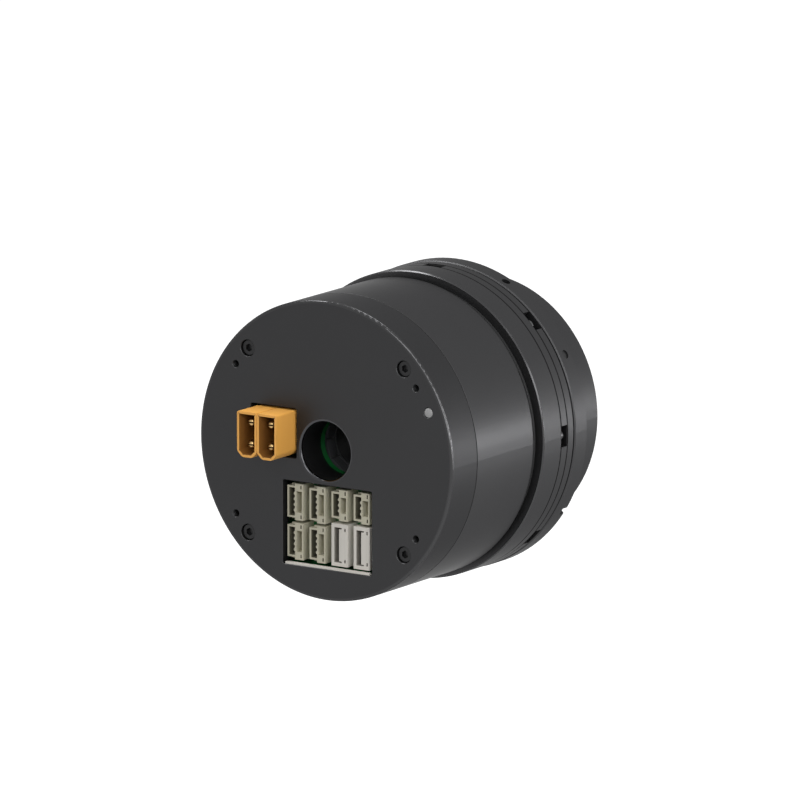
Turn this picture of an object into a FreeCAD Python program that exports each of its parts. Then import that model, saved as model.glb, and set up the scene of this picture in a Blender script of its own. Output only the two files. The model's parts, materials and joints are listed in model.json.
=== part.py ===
"""Hollow-shaft robot joint actuator, in millimetres.

The rotation axis is Y and the rear face lies in the plane y = 0. From the rear come the cover with its
headers, the boards, the frameless motor, the strain-wave gear, the crossed-roller bearing and the output
flange. Z points up.
"""
import FreeCAD
import Part
import Sketcher
import math
import os

doc = FreeCAD.newDocument("joint_actuator")
sheet = doc.addObject("Spreadsheet::Sheet", "sizes")
nodes = []


# ---------------------------------------------------------------- driving sizes

class Size:
    """A number together with the spreadsheet expression that it comes from."""

    def __init__(self, value, text):
        self.value = value
        self.text = text

    def __add__(self, other):
        other = as_size(other)
        return Size(self.value + other.value, "(" + self.text + " + " + other.text + ")")

    def __sub__(self, other):
        other = as_size(other)
        return Size(self.value - other.value, "(" + self.text + " - " + other.text + ")")

    def __mul__(self, other):
        other = as_size(other)
        return Size(self.value * other.value, self.text + " * " + other.text)

    def __truediv__(self, other):
        other = as_size(other)
        return Size(self.value / other.value, self.text + " / " + other.text)

    def __neg__(self):
        return self * -1.0

    def __rsub__(self, other):
        return as_size(other) - self

    __radd__ = __add__
    __rmul__ = __mul__


def as_size(number):
    if isinstance(number, Size):
        return number
    return Size(float(number), "(" + repr(float(number)) + ")")


def size(alias, value):
    """Put one driving size in the sheet and return it."""
    row = str(sheet_rows[0])
    sheet_rows[0] += 1
    sheet.set("A" + row, alias.replace("_", " "))
    sheet.set("B" + row, str(value))
    sheet.setAlias("B" + row, alias)
    return Size(float(value), "sizes." + alias)


sheet_rows = [1]

# outer shells
rear_radius = size("rear_radius", 33.5)
shell_wall = size("shell_wall", 1.8)
cover_plate = size("cover_plate", 2.2)
seam_y = size("seam_y", 9.85)
seam_bevel = size("seam_bevel", 0.18)
shoulder_y = size("shoulder_y", 33.3)
shoulder_round = size("shoulder_round", 1.6)
neck_radius = size("neck_radius", 31.7)
gear_y = size("gear_y", 34.4)
gear_radius = size("gear_radius", 34.6)
rear_edge_round = size("rear_edge_round", 0.5)

# cable bore and centre tube
cover_bore = size("cover_bore", 6.5)
collar_wall = size("collar_wall", 1.5)
collar_end_y = size("collar_end_y", 7.7)
tube_bore = size("tube_bore", 6.2)
tube_wall = size("tube_wall", 0.8)
tube_start_y = size("tube_start_y", 13.2)

# rear face fasteners, holes and headers
screw_offset = size("screw_offset", 20.7)
tapped_offset_x = size("tapped_offset_x", 23.9)
tapped_offset_z = size("tapped_offset_z", 16.8)
tapped_radius = size("tapped_radius", 0.8)
light_x = size("light_x", 27.2)
light_z = size("light_z", 11.7)
light_radius = size("light_radius", 1.1)
power_width = size("power_width", 5.2)
power_height = size("power_height", 10.2)
power_wall = size("power_wall", 0.55)
power_reach = size("power_reach", 7.0)
power_inner_x = size("power_inner_x", -10.75)
power_outer_x = size("power_outer_x", -16.05)
power_z = size("power_z", 3.0)
power_pin_pitch = size("power_pin_pitch", 5.0)
power_pin_radius = size("power_pin_radius", 0.95)
window_left = size("window_left", -11.4)
window_right = size("window_right", 12.3)
window_low = size("window_low", -26.5)
window_high = size("window_high", -7.65)
header_face_y = size("header_face_y", 1.2)
header_pitch = size("header_pitch", 5.88)
header_first_x = size("header_first_x", -8.85)
contact_pitch = size("contact_pitch", 1.25)

# boards
board_y = size("board_y", 5.5)
board_thickness = size("board_thickness", 1.6)
board_radius = size("board_radius", 31.0)
encoder_board_radius = size("encoder_board_radius", 15.5)

# motor
housing_inner = size("housing_inner", 30.6)
plate_y = size("plate_y", 10.2)
plate_thickness = size("plate_thickness", 1.7)
stator_y = size("stator_y", 14.5)
stator_length = size("stator_length", 12.0)
stator_bore = size("stator_bore", 20.1)
slot_count = size("slot_count", 18)
tooth_width = size("tooth_width", 3.6)
magnet_radius = size("magnet_radius", 19.6)
magnet_thickness = size("magnet_thickness", 1.6)
magnet_count = size("magnet_count", 20)
iron_thickness = size("iron_thickness", 1.8)
shaft_radius = size("shaft_radius", 10.0)
shaft_bore = size("shaft_bore", 7.8)
bearing_radius = size("bearing_radius", 13.5)
bearing_width = size("bearing_width", 4.0)
bearing_ball = size("bearing_ball", 1.8)
rear_bearing_y = size("rear_bearing_y", 14.0)
front_bearing_y = size("front_bearing_y", 27.6)
ball_count = size("ball_count", 10)

# strain-wave gear
gear_width = size("gear_width", 7.1)
gear_module = size("gear_module", 0.3556)
cup_teeth = size("cup_teeth", 100)
ring_teeth = size("ring_teeth", 102)
cup_bore = size("cup_bore", 16.95)
cup_wall = size("cup_wall", 0.4)
cup_end_y = size("cup_end_y", 57.4)
wave_rise = size("wave_rise", 0.35)
wave_ball = size("wave_ball", 2.0)

# crossed-roller bearing
rear_ring_y = size("rear_ring_y", 41.5)
split_y = size("split_y", 44.0)
ring_end_y = size("ring_end_y", 46.3)
roller_circle = size("roller_circle", 26.7)
roller_diameter = size("roller_diameter", 2.6)
roller_count = size("roller_count", 24)
race_gap = size("race_gap", 0.3)
inner_ring_bore = size("inner_ring_bore", 21.8)
notch_width = size("notch_width", 4.8)
notch_depth = size("notch_depth", 3.4)
pin_circle = size("pin_circle", 32.7)
pin_radius = size("pin_radius", 1.2)
gear_screw_circle = size("gear_screw_circle", 30.2)

# output flange
flange_y = size("flange_y", 46.8)
flange_end_y = size("flange_end_y", 51.7)
flange_radius = size("flange_radius", 34.75)
spigot_radius = size("spigot_radius", 29.3)
spigot_end_y = size("spigot_end_y", 64.6)
spigot_wall = size("spigot_wall", 4.3)
output_plate_y = size("output_plate_y", 59.6)
output_bolt_circle = size("output_bolt_circle", 25.0)
output_bolt_radius = size("output_bolt_radius", 1.25)
output_bolt_count = size("output_bolt_count", 8)

# places of screws and headers on the rear face, as (x, z)
spacer_places = [(-9.0, 26.0), (9.0, 26.0), (-15.2, -17.0), (15.2, -17.0)]
encoder_screw_places = [(0.0, 13.6), (-11.8, -6.8), (11.8, -6.8)]
columns = [header_first_x + header_pitch * i for i in range(4)]
four_way_places = [(columns[i], as_size(z)) for z in (-12.6, -21.45) for i in (0, 1)]
three_way_places = [(columns[i], as_size(-12.0)) for i in (2, 3)]
service_places = [(columns[i], as_size(-20.95)) for i in (2, 3)]

# smaller sizes of the cover, its screws and its headers
bore_round = 0.6
opening_corner = 0.4
opening_bevel = 0.12
post_radius = 2.6
post_tip_radius = 2.3
lug_end_y = 14.2
screw_head_radius = 1.65
screw_head_y = 0.6
screw_head_length = 1.3
screw_shank_radius = 1.0
power_high_corner = 0.45
power_low_corner = 1.1
cavity_depth = 2.9
ledge_setback = 0.9
hump_foot = 0.36
hump_top = 0.22
hump_rise = 0.3
hump_round = 0.15
sill_y = 0.2
sill_end_y = 1.1
sill_height = 0.45
coil_round = 1.2

# smaller sizes of the gear and its fasteners
tooth_height = 0.5
tooth_relief = 0.12
tooth_end_y = 40.9
pin_depth = 3.0
gear_screw_radius = 0.8
head_y = 45.0
inner_screw_circle = 23.4
inner_head_y = 43.2
cup_round = 0.7
cup_boss_radius = 13.4
cup_boss_bore = 7.6
cup_screw_circle = 10.6
cup_screw_radius = 1.25
cam_radius = 12.9
cam_y = 35.6
cam_end_y = 41.0
race_y = 36.0
race_end_y = 40.4
wave_ball_circle = 14.75
wave_race_radius = 16.4
wave_ball_count = 15

# smaller sizes of the output side
rim_screw_turns = (65.0, 29.0)
rim_screw_radius = 1.0
rim_hole_depth = 4.0
rim_hole_y = (flange_y + flange_end_y) / 2
magnet_segments = 10
seam_width = 0.1
seam_depth = 0.3
notch_turn = -33.0
notch_half = 0.85
rim_notch_depth = 1.6

doc.recompute()


# ---------------------------------------------------------------- sketch and feature helpers

def new_body(label):
    """Start the PartDesign body of one sub-part; its label names the file."""
    body = doc.addObject("PartDesign::Body", label)
    body.Label = label
    body.AllowCompound = True
    nodes.append(body)
    return body


def origin_item(body, role):
    for item in body.Origin.OriginFeatures:
        if item.Role == role:
            return item
    raise ValueError(role)


def sketch_on(body, name, role, offset=None):
    """A sketch on one of the body's own origin planes, lifted along its normal by offset."""
    sketch = body.newObject("Sketcher::SketchObject", name)
    sketch.AttachmentSupport = [(origin_item(body, role), "")]
    sketch.MapMode = "FlatFace"
    if offset is not None:
        sketch.AttachmentOffset = FreeCAD.Placement(FreeCAD.Vector(0, 0, offset.value), FreeCAD.Rotation())
        sketch.setExpression("AttachmentOffset.Base.z", offset.text)
    return sketch


def fix_point(sketch, geometry, position, across, along):
    """Tie a point of the sketch to its two coordinates."""
    for kind, axis, distance in (("DistanceX", -2, across), ("DistanceY", -1, along)):
        distance = as_size(distance)
        if abs(distance.value) < 1e-9:
            sketch.addConstraint(Sketcher.Constraint("PointOnObject", geometry, position, axis))
            continue
        index = sketch.addConstraint(
            Sketcher.Constraint(kind, -1, 1, geometry, position, distance.value))
        sketch.setExpression("Constraints[" + str(index) + "]", distance.text)


def add_polygon(sketch, corners):
    """A closed outline of straight lines through the given corners."""
    corners = [(as_size(across), as_size(along)) for across, along in corners]
    points = [FreeCAD.Vector(across.value, along.value, 0) for across, along in corners]
    first = sketch.GeometryCount
    count = len(corners)
    for i in range(count):
        sketch.addGeometry(Part.LineSegment(points[i], points[(i + 1) % count]), False)
    for i in range(count):
        following = first + (i + 1) % count
        sketch.addConstraint(Sketcher.Constraint("Coincident", first + i, 2, following, 1))
    for i, (across, along) in enumerate(corners):
        fix_point(sketch, first + i, 1, across, along)


def corner_bend(before, corner, after, radius):
    """Where an arc of this radius leaves the two sides of a corner, its centre and its sense of turn."""
    spots = [FreeCAD.Vector(across.value, along.value, 0) for across, along in (before, corner, after)]
    back = (spots[0] - spots[1]).normalize()
    ahead = (spots[2] - spots[1]).normalize()
    half = back.getAngle(ahead) / 2
    setback = 1 / math.tan(half)
    start = (corner[0] + radius * (setback * back.x), corner[1] + radius * (setback * back.y))
    end = (corner[0] + radius * (setback * ahead.x), corner[1] + radius * (setback * ahead.y))
    centre = spots[1] + (back + ahead).normalize() * (radius.value / math.sin(half))
    turns_left = ahead.cross(back).z > 0
    return start, end, centre, turns_left


def add_rounded(sketch, corners, radii):
    """A closed outline whose corners are arcs, all of one radius or each of its own."""
    corners = [(as_size(across), as_size(along)) for across, along in corners]
    count = len(corners)
    if not isinstance(radii, list):
        radii = [radii] * count
    radii = [as_size(radius) for radius in radii]
    bends = []
    for i in range(count):
        bends.append(corner_bend(corners[i - 1], corners[i], corners[(i + 1) % count], radii[i]))
    first = sketch.GeometryCount
    for i in range(count):
        end = bends[i][1]
        following = bends[(i + 1) % count][0]
        sketch.addGeometry(Part.LineSegment(
            FreeCAD.Vector(end[0].value, end[1].value, 0),
            FreeCAD.Vector(following[0].value, following[1].value, 0)), False)
        fix_point(sketch, first + i, 1, *end)
        fix_point(sketch, first + i, 2, *following)
    for i, (start, end, centre, turns_left) in enumerate(bends):
        radius = radii[i]
        low, high = (start, end) if turns_left else (end, start)
        angles = [math.atan2(along.value - centre.y, across.value - centre.x)
                  for across, along in (low, high)]
        circle = Part.Circle(centre, FreeCAD.Vector(0, 0, 1), radius.value)
        arc = sketch.addGeometry(Part.ArcOfCircle(circle, angles[0], angles[1]), False)
        entry, exit_point = (1, 2) if turns_left else (2, 1)
        sketch.addConstraint(Sketcher.Constraint("Coincident", arc, entry, first + (i - 1) % count, 2))
        sketch.addConstraint(Sketcher.Constraint("Coincident", arc, exit_point, first + i, 1))
        constraint = sketch.addConstraint(Sketcher.Constraint("Radius", arc, radius.value))
        sketch.setExpression("Constraints[" + str(constraint) + "]", radius.text)


def add_circle(sketch, across, along, radius):
    across = as_size(across)
    along = as_size(along)
    radius = as_size(radius)
    centre = FreeCAD.Vector(across.value, along.value, 0)
    index = sketch.addGeometry(Part.Circle(centre, FreeCAD.Vector(0, 0, 1), radius.value), False)
    fix_point(sketch, index, 3, across, along)
    constraint = sketch.addConstraint(Sketcher.Constraint("Radius", index, radius.value))
    sketch.setExpression("Constraints[" + str(constraint) + "]", radius.text)


def rectangle(left, low, right, high):
    return [(left, low), (right, low), (right, high), (left, high)]


def link(feature, name, value):
    """Set one size of a feature and bind it to the sheet."""
    value = as_size(value)
    setattr(feature, name, value.value)
    feature.setExpression(name, value.text)


def checked(feature, before, grows):
    """Recompute, and stop if a feature did not add or remove material."""
    doc.recompute()
    after = feature.Shape.Volume
    if grows and after <= before + 1e-6 or not grows and after >= before - 1e-6:
        raise RuntimeError(feature.Name + " changed nothing")
    return feature


def volume_of(body):
    if body.Tip is None:
        return 0.0
    return body.Tip.Shape.Volume


def revolve(body, name, corners, angle=360.0, cut=False):
    """Turn an outline of (radius, y) corners about the Y axis, or cut with it."""
    before = volume_of(body)
    sketch = sketch_on(body, name + "_outline", "XY_Plane")
    add_polygon(sketch, corners)
    kind = "PartDesign::Groove" if cut else "PartDesign::Revolution"
    feature = body.newObject(kind, name)
    feature.Profile = sketch
    feature.ReferenceAxis = (sketch, ["V_Axis"])
    feature.Angle = angle
    feature.Midplane = angle < 360.0
    return checked(feature, before, not cut)


def pad(body, name, draw, y_from, y_to):
    """Extrude what draw puts in an XZ sketch from one y to another."""
    before = volume_of(body)
    sketch = sketch_on(body, name + "_outline", "XZ_Plane", -as_size(y_from))
    draw(sketch)
    feature = body.newObject("PartDesign::Pad", name)
    feature.Profile = sketch
    link(feature, "Length", as_size(y_to) - y_from)
    feature.Reversed = True
    return checked(feature, before, True)


def pocket(body, name, draw, y_from, y_to):
    """Cut what draw puts in an XZ sketch from one y to a larger one."""
    before = volume_of(body)
    sketch = sketch_on(body, name + "_outline", "XZ_Plane", -as_size(y_from))
    draw(sketch)
    feature = body.newObject("PartDesign::Pocket", name)
    feature.Profile = sketch
    link(feature, "Length", as_size(y_to) - y_from)
    return checked(feature, before, False)


def ring_of(body, feature, count, angle=360.0):
    """Repeat a feature evenly about the Y axis."""
    before = body.Tip.Shape.Volume
    pattern = body.newObject("PartDesign::PolarPattern", feature.Name + "_ring")
    pattern.Originals = [feature]
    pattern.Axis = (origin_item(body, "Y_Axis"), [""])
    pattern.Angle = angle
    count = as_size(count)
    pattern.Occurrences = int(count.value)
    pattern.setExpression("Occurrences", count.text)
    body.Tip = pattern
    doc.recompute()
    if abs(pattern.Shape.Volume - before) < 1e-6:
        raise RuntimeError(pattern.Name + " changed nothing")
    return pattern


def round_edges(body, name, test, amount, kind="Fillet"):
    """Round or bevel the edges of the tip for which test is true."""
    tip = body.Tip
    picked = ["Edge" + str(i + 1) for i, edge in enumerate(tip.Shape.Edges) if test(edge)]
    if not picked:
        raise RuntimeError(name + " found no edge")
    feature = body.newObject("PartDesign::" + kind, name)
    feature.Base = (tip, picked)
    link(feature, "Radius" if kind == "Fillet" else "Size", amount)
    body.Tip = feature
    doc.recompute()
    return feature


def circle_edge(radius, y):
    """A test for the circular edges about Y with this radius at this height."""
    radius = as_size(radius).value
    y = as_size(y).value

    def test(edge):
        curve = edge.Curve
        if not isinstance(curve, Part.Circle):
            return False
        centred = math.hypot(curve.Center.x, curve.Center.z) < 1e-4
        return centred and abs(curve.Radius - radius) < 1e-4 and abs(curve.Center.y - y) < 1e-4
    return test


def tube(label, inner, outer, y_from, y_to):
    """A plain ring about the Y axis in a body of its own."""
    body = new_body(label)
    corners = rectangle(inner, y_from, outer, y_to)
    revolve(body, label + "_ring", corners)
    return body


def shape_node(label, shape):
    """A sub-part whose form has no matching PartDesign feature."""
    feature = doc.addObject("Part::Feature", label)
    feature.Label = label
    feature.Shape = shape
    feature.Placement = FreeCAD.Placement()
    nodes.append(feature)
    return feature


def screw_places():
    offset = screw_offset
    return [(offset * sx, offset * sz) for sx in (-1.0, 1.0) for sz in (-1.0, 1.0)]


def tapped_places():
    return [(tapped_offset_x * sx, tapped_offset_z * sz) for sx in (-1.0, 1.0) for sz in (-1.0, 1.0)]


def circles_at(places, radius):
    def draw(sketch):
        for across, along in places:
            add_circle(sketch, across, along, radius)
    return draw


def outline_of(*outlines):
    def draw(sketch):
        for corners in outlines:
            add_polygon(sketch, corners)
    return draw


def rounded_of(outlines, radii):
    def draw(sketch):
        for corners in outlines:
            add_rounded(sketch, corners, radii)
    return draw


def regular_outline(across, along, radius, sides=6):
    """The corners of a regular polygon, the first one towards +X."""
    corners = []
    for i in range(sides):
        angle = 2 * math.pi * i / sides
        corners.append((across + radius * math.cos(angle), along + radius * math.sin(angle)))
    return corners


def add_sockets(body, name, places, radius, y_from, y_to):
    """Hexagon sockets in the heads of screws that stand along Y."""
    sockets = [regular_outline(across, along, radius) for across, along in places]
    return pocket(body, name, outline_of(*sockets), y_from, y_to)


# ---------------------------------------------------------------- rear cover and what sits in it

def make_rear_cover():
    body = new_body("rear_cover")
    inner = rear_radius - shell_wall
    collar = cover_bore + collar_wall
    revolve(body, "cover_shell", [
        (cover_bore, 0), (rear_radius, 0), (rear_radius, seam_y - seam_bevel),
        (rear_radius - seam_bevel, seam_y), (inner, seam_y), (inner, cover_plate),
        (collar, cover_plate), (collar, collar_end_y), (cover_bore, collar_end_y)])
    round_edges(body, "rear_rim_round", circle_edge(rear_radius, 0), rear_edge_round)
    round_edges(body, "bore_round", circle_edge(cover_bore, 0), bore_round)
    pad(body, "screw_posts", circles_at(screw_places(), post_radius), cover_plate, seam_y)
    pad(body, "post_tips", circles_at(screw_places(), post_tip_radius), seam_y, plate_y)
    pad(body, "tapped_bosses", circles_at(tapped_places(), 1.9), cover_plate, 5.0)
    add_screw_holes(body)
    pocket(body, "tapped_holes", circles_at(tapped_places(), tapped_radius), 0, 4.4)
    pocket(body, "light_hole", circles_at([(light_x, light_z)], light_radius + 0.05), 0, cover_plate)
    gap = 0.45
    left = power_outer_x - power_width / 2 - 1.2
    right = power_inner_x + power_width / 2 + gap
    low = power_z - power_height / 2 - gap
    high = power_z + power_height / 2 + gap
    opening = [rectangle(left, low, right, high)]
    pocket(body, "power_opening", rounded_of(opening, opening_corner), 0, cover_plate)
    window = [rectangle(window_left, window_low, window_right, window_high)]
    pocket(body, "signal_window", rounded_of(window, opening_corner), 0, cover_plate)
    round_edges(body, "opening_bevels", edge_of_opening, opening_bevel, "Chamfer")


def edge_of_opening(edge):
    """True for an edge in the rear face that is not the rim or the bore."""
    if any(abs(vertex.Y) > 1e-6 for vertex in edge.Vertexes):
        return False
    curve = edge.Curve
    return not isinstance(curve, Part.Circle) or math.hypot(curve.Center.x, curve.Center.z) > 1e-4


def add_screw_holes(body):
    """Counterbored through holes down the four posts."""
    before = volume_of(body)
    sketch = sketch_on(body, "screw_hole_centres", "XZ_Plane")
    circles_at(screw_places(), screw_shank_radius + 0.1)(sketch)
    doc.recompute()
    hole = body.newObject("PartDesign::Hole", "screw_holes")
    hole.Profile = sketch
    hole.ThreadType = "None"
    hole.Diameter = 2.0 * (screw_shank_radius + 0.1)
    hole.DepthType = "ThroughAll"
    hole.HoleCutType = "Counterbore"
    hole.HoleCutCustomValues = True
    hole.HoleCutDiameter = 2.0 * (screw_head_radius + 0.2)
    hole.HoleCutDepth = screw_head_y + screw_head_length
    checked(hole, before, False)


def make_cover_screws():
    body = new_body("cover_screws")
    head_end = screw_head_y + screw_head_length
    pad(body, "screw_heads", circles_at(screw_places(), screw_head_radius), screw_head_y, head_end)
    pad(body, "screw_shanks", circles_at(screw_places(), screw_shank_radius), head_end, 14.0)
    add_sockets(body, "hex_sockets", screw_places(), 0.78, screw_head_y, screw_head_y + 0.8)


def make_light_pipe():
    body = new_body("led_light_pipe")
    place = [(light_x, light_z)]
    pad(body, "pipe", circles_at(place, light_radius), -0.1, cover_plate)
    pad(body, "pipe_foot", circles_at(place, light_radius + 0.5), cover_plate, board_y)


def power_centres():
    return [power_outer_x, power_inner_x]


def power_outline(centre, inset):
    """The keyed outline of a power header: square corners above, cut corners below."""
    left = centre - power_width / 2 + inset
    right = centre + power_width / 2 - inset
    low = power_z - power_height / 2 + inset
    high = power_z + power_height / 2 - inset
    cut = 1.3 - inset * 0.4
    return [(left + cut, low), (right - cut, low), (right, low + cut), (right, high), (left, high),
            (left, low + cut)]


def make_power_headers():
    body = new_body("power_header_housings")
    low = power_low_corner
    high = power_high_corner
    radii = [low, low, low, high, high, low]
    outer = rounded_of([power_outline(x, 0.0) for x in power_centres()], radii)
    pad(body, "header_blocks", outer, -power_reach, board_y)
    radii = [radius * 0.7 for radius in radii]
    cavity = rounded_of([power_outline(x, power_wall) for x in power_centres()], radii)
    pocket(body, "header_cavities", cavity, -power_reach, 0.4)
    holes = circles_at(power_pin_places(), power_pin_radius)
    pocket(body, "pin_holes", holes, 0.4, board_y)


def power_pin_places():
    half = power_pin_pitch / 2
    return [(x, power_z + half * side) for x in power_centres() for side in (-1.0, 1.0)]


def make_power_pins():
    body = new_body("power_header_pins")
    tip_y = -5.6
    places = power_pin_places()
    pin = pad(body, "pins", circles_at(places, power_pin_radius), tip_y, board_y)
    radius = power_pin_radius.value

    def tip_edge(edge):
        curve = edge.Curve
        return isinstance(curve, Part.Circle) and abs(curve.Center.y - tip_y) < 1e-4
    round_edges(body, "pin_tips", tip_edge, radius * 0.6)
    slit = 0.18
    slits = [rectangle(x - 1.2, z - slit, x + 1.2, z + slit) for x, z in places]
    pocket(body, "pin_slits", outline_of(*slits), tip_y, 0.2)


def stepped_outline(centre_x, centre_z, contacts):
    """Face outline of a signal header: the latch side is taller than the contact side."""
    half = contact_pitch * (contacts - 1) / 2 + 2.25
    short = half - 0.55
    left = centre_x - 2.12
    step = centre_x - 0.1
    right = centre_x + 2.12
    return [(left, centre_z - short), (step, centre_z - short), (step, centre_z - half),
            (right, centre_z - half), (right, centre_z + half), (step, centre_z + half),
            (step, centre_z + short), (left, centre_z + short)]


def contact_heights(centre_z, contacts):
    first = contact_pitch * (contacts - 1) / -2
    return [centre_z + first + contact_pitch * i for i in range(contacts)]


def scalloped_cavity(centre_x, centre_z, contacts):
    """The plug cavity, whose right side steps in between the contacts."""
    half = contact_pitch * (contacts - 1) / 2 + 1.25
    left = centre_x - 1.6
    deep = centre_x - 0.1
    corners = [(left, centre_z + half), (left, centre_z - half), (deep, centre_z - half)]
    for z in contact_heights(centre_z, contacts):
        corners.append((deep, z - hump_foot))
        corners.append((deep - hump_rise, z - hump_top))
        corners.append((deep - hump_rise, z + hump_top))
        corners.append((deep, z + hump_foot))
    corners.append((deep, centre_z + half))
    return corners


def ledge_outline(centre_x, centre_z, contacts):
    """The wider foot of the contact side, set back behind the front rim."""
    half = contact_pitch * (contacts - 1) / 2 + 2.13
    return rectangle(centre_x - 1.45, centre_z - half, centre_x - 0.1, centre_z + half)


def make_signal_headers(label, places, contacts):
    """Board headers with a scalloped plug cavity, a latch pocket and two small slots."""
    body = new_body(label)
    blocks = [stepped_outline(x, z, contacts) for x, z in places]
    pad(body, label + "_blocks", outline_of(*blocks), header_face_y, board_y)
    ledges = [ledge_outline(x, z, contacts) for x, z in places]
    pad(body, label + "_ledges", outline_of(*ledges), header_face_y + ledge_setback, board_y)
    for i, (x, z) in enumerate(places):
        cavity = [scalloped_cavity(x, z, contacts)]
        name = label + "_cavity_" + str(i + 1)
        pocket(body, name, rounded_of(cavity, hump_round), header_face_y, header_face_y + cavity_depth)
    reach = contact_pitch * (contacts - 1) / 2 + 0.5
    latches = [rectangle(x + 0.25, z - reach, x + 1.75, z + reach) for x, z in places]
    pocket(body, label + "_latches", outline_of(*latches), header_face_y, header_face_y + 2.2)
    slots = []
    for x, z in places:
        for side in (-1.0, 1.0):
            middle = z + (contact_pitch * (contacts - 1) / 2 + 1.45) * side
            slots.append(rectangle(x + 1.38, middle - 0.38, x + 1.66, middle + 0.38))
    pocket(body, label + "_slots", outline_of(*slots), header_face_y, header_face_y + 1.2)


def make_service_headers():
    """Two plain sockets with a hooked slot, for set-up and firmware leads."""
    body = new_body("service_headers")
    half_width = 2.15
    half_height = 4.78
    blocks = [rectangle(x - half_width, z - half_height, x + half_width, z + half_height)
              for x, z in service_places]
    pad(body, "service_blocks", outline_of(*blocks), header_face_y, board_y)
    slots = []
    for x, z in service_places:
        left = x - 1.35
        right = x - 0.15
        hook = x + 0.55
        slots.append([(left, z - 3.9), (hook, z - 3.9), (hook, z - 3.62), (right, z - 3.62),
                      (right, z + 3.62), (hook, z + 3.62), (hook, z + 3.9), (left, z + 3.9)])
    pocket(body, "service_slots", outline_of(*slots), header_face_y, header_face_y + 3.0)
    marks = [rectangle(x + 1.3, z + side * 3.5 - 0.36, x + 1.6, z + side * 3.5 + 0.36)
             for x, z in service_places for side in (-1.0, 1.0)]
    pocket(body, "service_marks", outline_of(*marks), header_face_y, header_face_y + 1.2)


def make_contacts(label, groups):
    """Square contact pins standing on the floors of the headers."""
    body = new_body(label)
    pins = []
    for places, contacts in groups:
        for x, z in places:
            for height in contact_heights(z, contacts):
                pins.append(rectangle(x - 1.05, height - 0.2, x - 0.65, height + 0.2))
    floor = header_face_y + cavity_depth
    pad(body, label + "_pins", outline_of(*pins), header_face_y + 1.0, floor)


def make_service_contacts():
    body = new_body("service_header_contacts")
    pins = []
    for x, z in service_places:
        for i in range(5):
            middle = z + 1.5 * (i - 2)
            pins.append(rectangle(x - 0.95, middle - 0.2, x - 0.55, middle + 0.2))
    pad(body, "service_pins", outline_of(*pins), header_face_y + 1.2, header_face_y + 3.0)


def make_connector_sill():
    body = new_body("connector_sill")
    strip = rectangle(window_left + 0.6, window_low, window_right - 0.75, window_low + sill_height)
    pad(body, "sill_strip", outline_of(strip), sill_y, sill_end_y)


# ---------------------------------------------------------------- boards

def make_driver_board():
    body = new_body("driver_board")
    back = board_y + board_thickness
    revolve(body, "board_disc", rectangle(cover_bore + collar_wall + 0.2, board_y, board_radius, back))
    pocket(body, "post_cut_outs", circles_at(screw_places(), post_radius + 0.3), board_y, back)
    places = spacer_places + encoder_screw_places
    pocket(body, "board_holes", circles_at(places, 0.9), board_y, back)


def make_board_spacers():
    body = new_body("board_spacers")
    pad(body, "spacer_tubes", circles_at(spacer_places, 2.0), cover_plate, board_y)
    pocket(body, "spacer_threads", circles_at(spacer_places, 0.9), 3.2, board_y)


def make_board_screws():
    body = new_body("board_screws")
    back = board_y + board_thickness
    pad(body, "board_screw_shanks", circles_at(spacer_places, 0.9), 3.4, back)
    pad(body, "board_screw_heads", circles_at(spacer_places, 1.7), back, back + 1.1)
    add_sockets(body, "board_screw_sockets", spacer_places, 0.8, back + 0.5, back + 1.1)


def make_power_transistors():
    """Six power transistors on the motor side of the board."""
    body = new_body("power_transistors")
    back = board_y + board_thickness
    chip = pad(body, "transistor", outline_of(rectangle(-2.5, 19.2, 2.5, 25.2)), back, back + 1.0)
    ring_of(body, chip, 6)


def make_bus_capacitors():
    body = new_body("bus_capacitors")
    blocks = [rectangle(x - 2.15, 13.2, x + 2.15, 20.5) for x in (-9.0, -3.0, 3.0, 9.0)]
    pad(body, "capacitor_blocks", outline_of(*blocks), board_y - 2.8, board_y)


def make_microcontroller():
    body = new_body("microcontroller")
    chip = rectangle(14.0, -4.5, 21.0, 2.5)
    pad(body, "chip", outline_of(chip), board_y - 0.9, board_y)


def make_encoder_board():
    body = new_body("encoder_board")
    end = collar_end_y + board_thickness
    revolve(body, "encoder_disc", rectangle(cover_bore, collar_end_y, encoder_board_radius, end))
    pocket(body, "encoder_holes", circles_at(encoder_screw_places, 0.9), collar_end_y, end)


def make_encoder_sensors():
    """One sensor over the output ring and one over the rotor ring."""
    body = new_body("encoder_sensors")
    start = collar_end_y + board_thickness
    chips = [rectangle(6.7, -1.2, 9.2, 1.2), rectangle(-12.6, -1.4, -9.8, 1.4)]
    pad(body, "sensor_chips", outline_of(*chips), start, start + 0.55)


def make_encoder_screws():
    body = new_body("encoder_board_screws")
    end = collar_end_y + board_thickness
    back = board_y + board_thickness
    pad(body, "encoder_shanks", circles_at(encoder_screw_places, 0.9), board_y, end)
    pad(body, "encoder_collars", circles_at(encoder_screw_places, 1.5), back, collar_end_y)
    pad(body, "encoder_heads", circles_at(encoder_screw_places, 1.5), end, end + 0.6)
    add_sockets(body, "encoder_sockets", encoder_screw_places, 0.7, end + 0.2, end + 0.6)


# ---------------------------------------------------------------- motor

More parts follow.
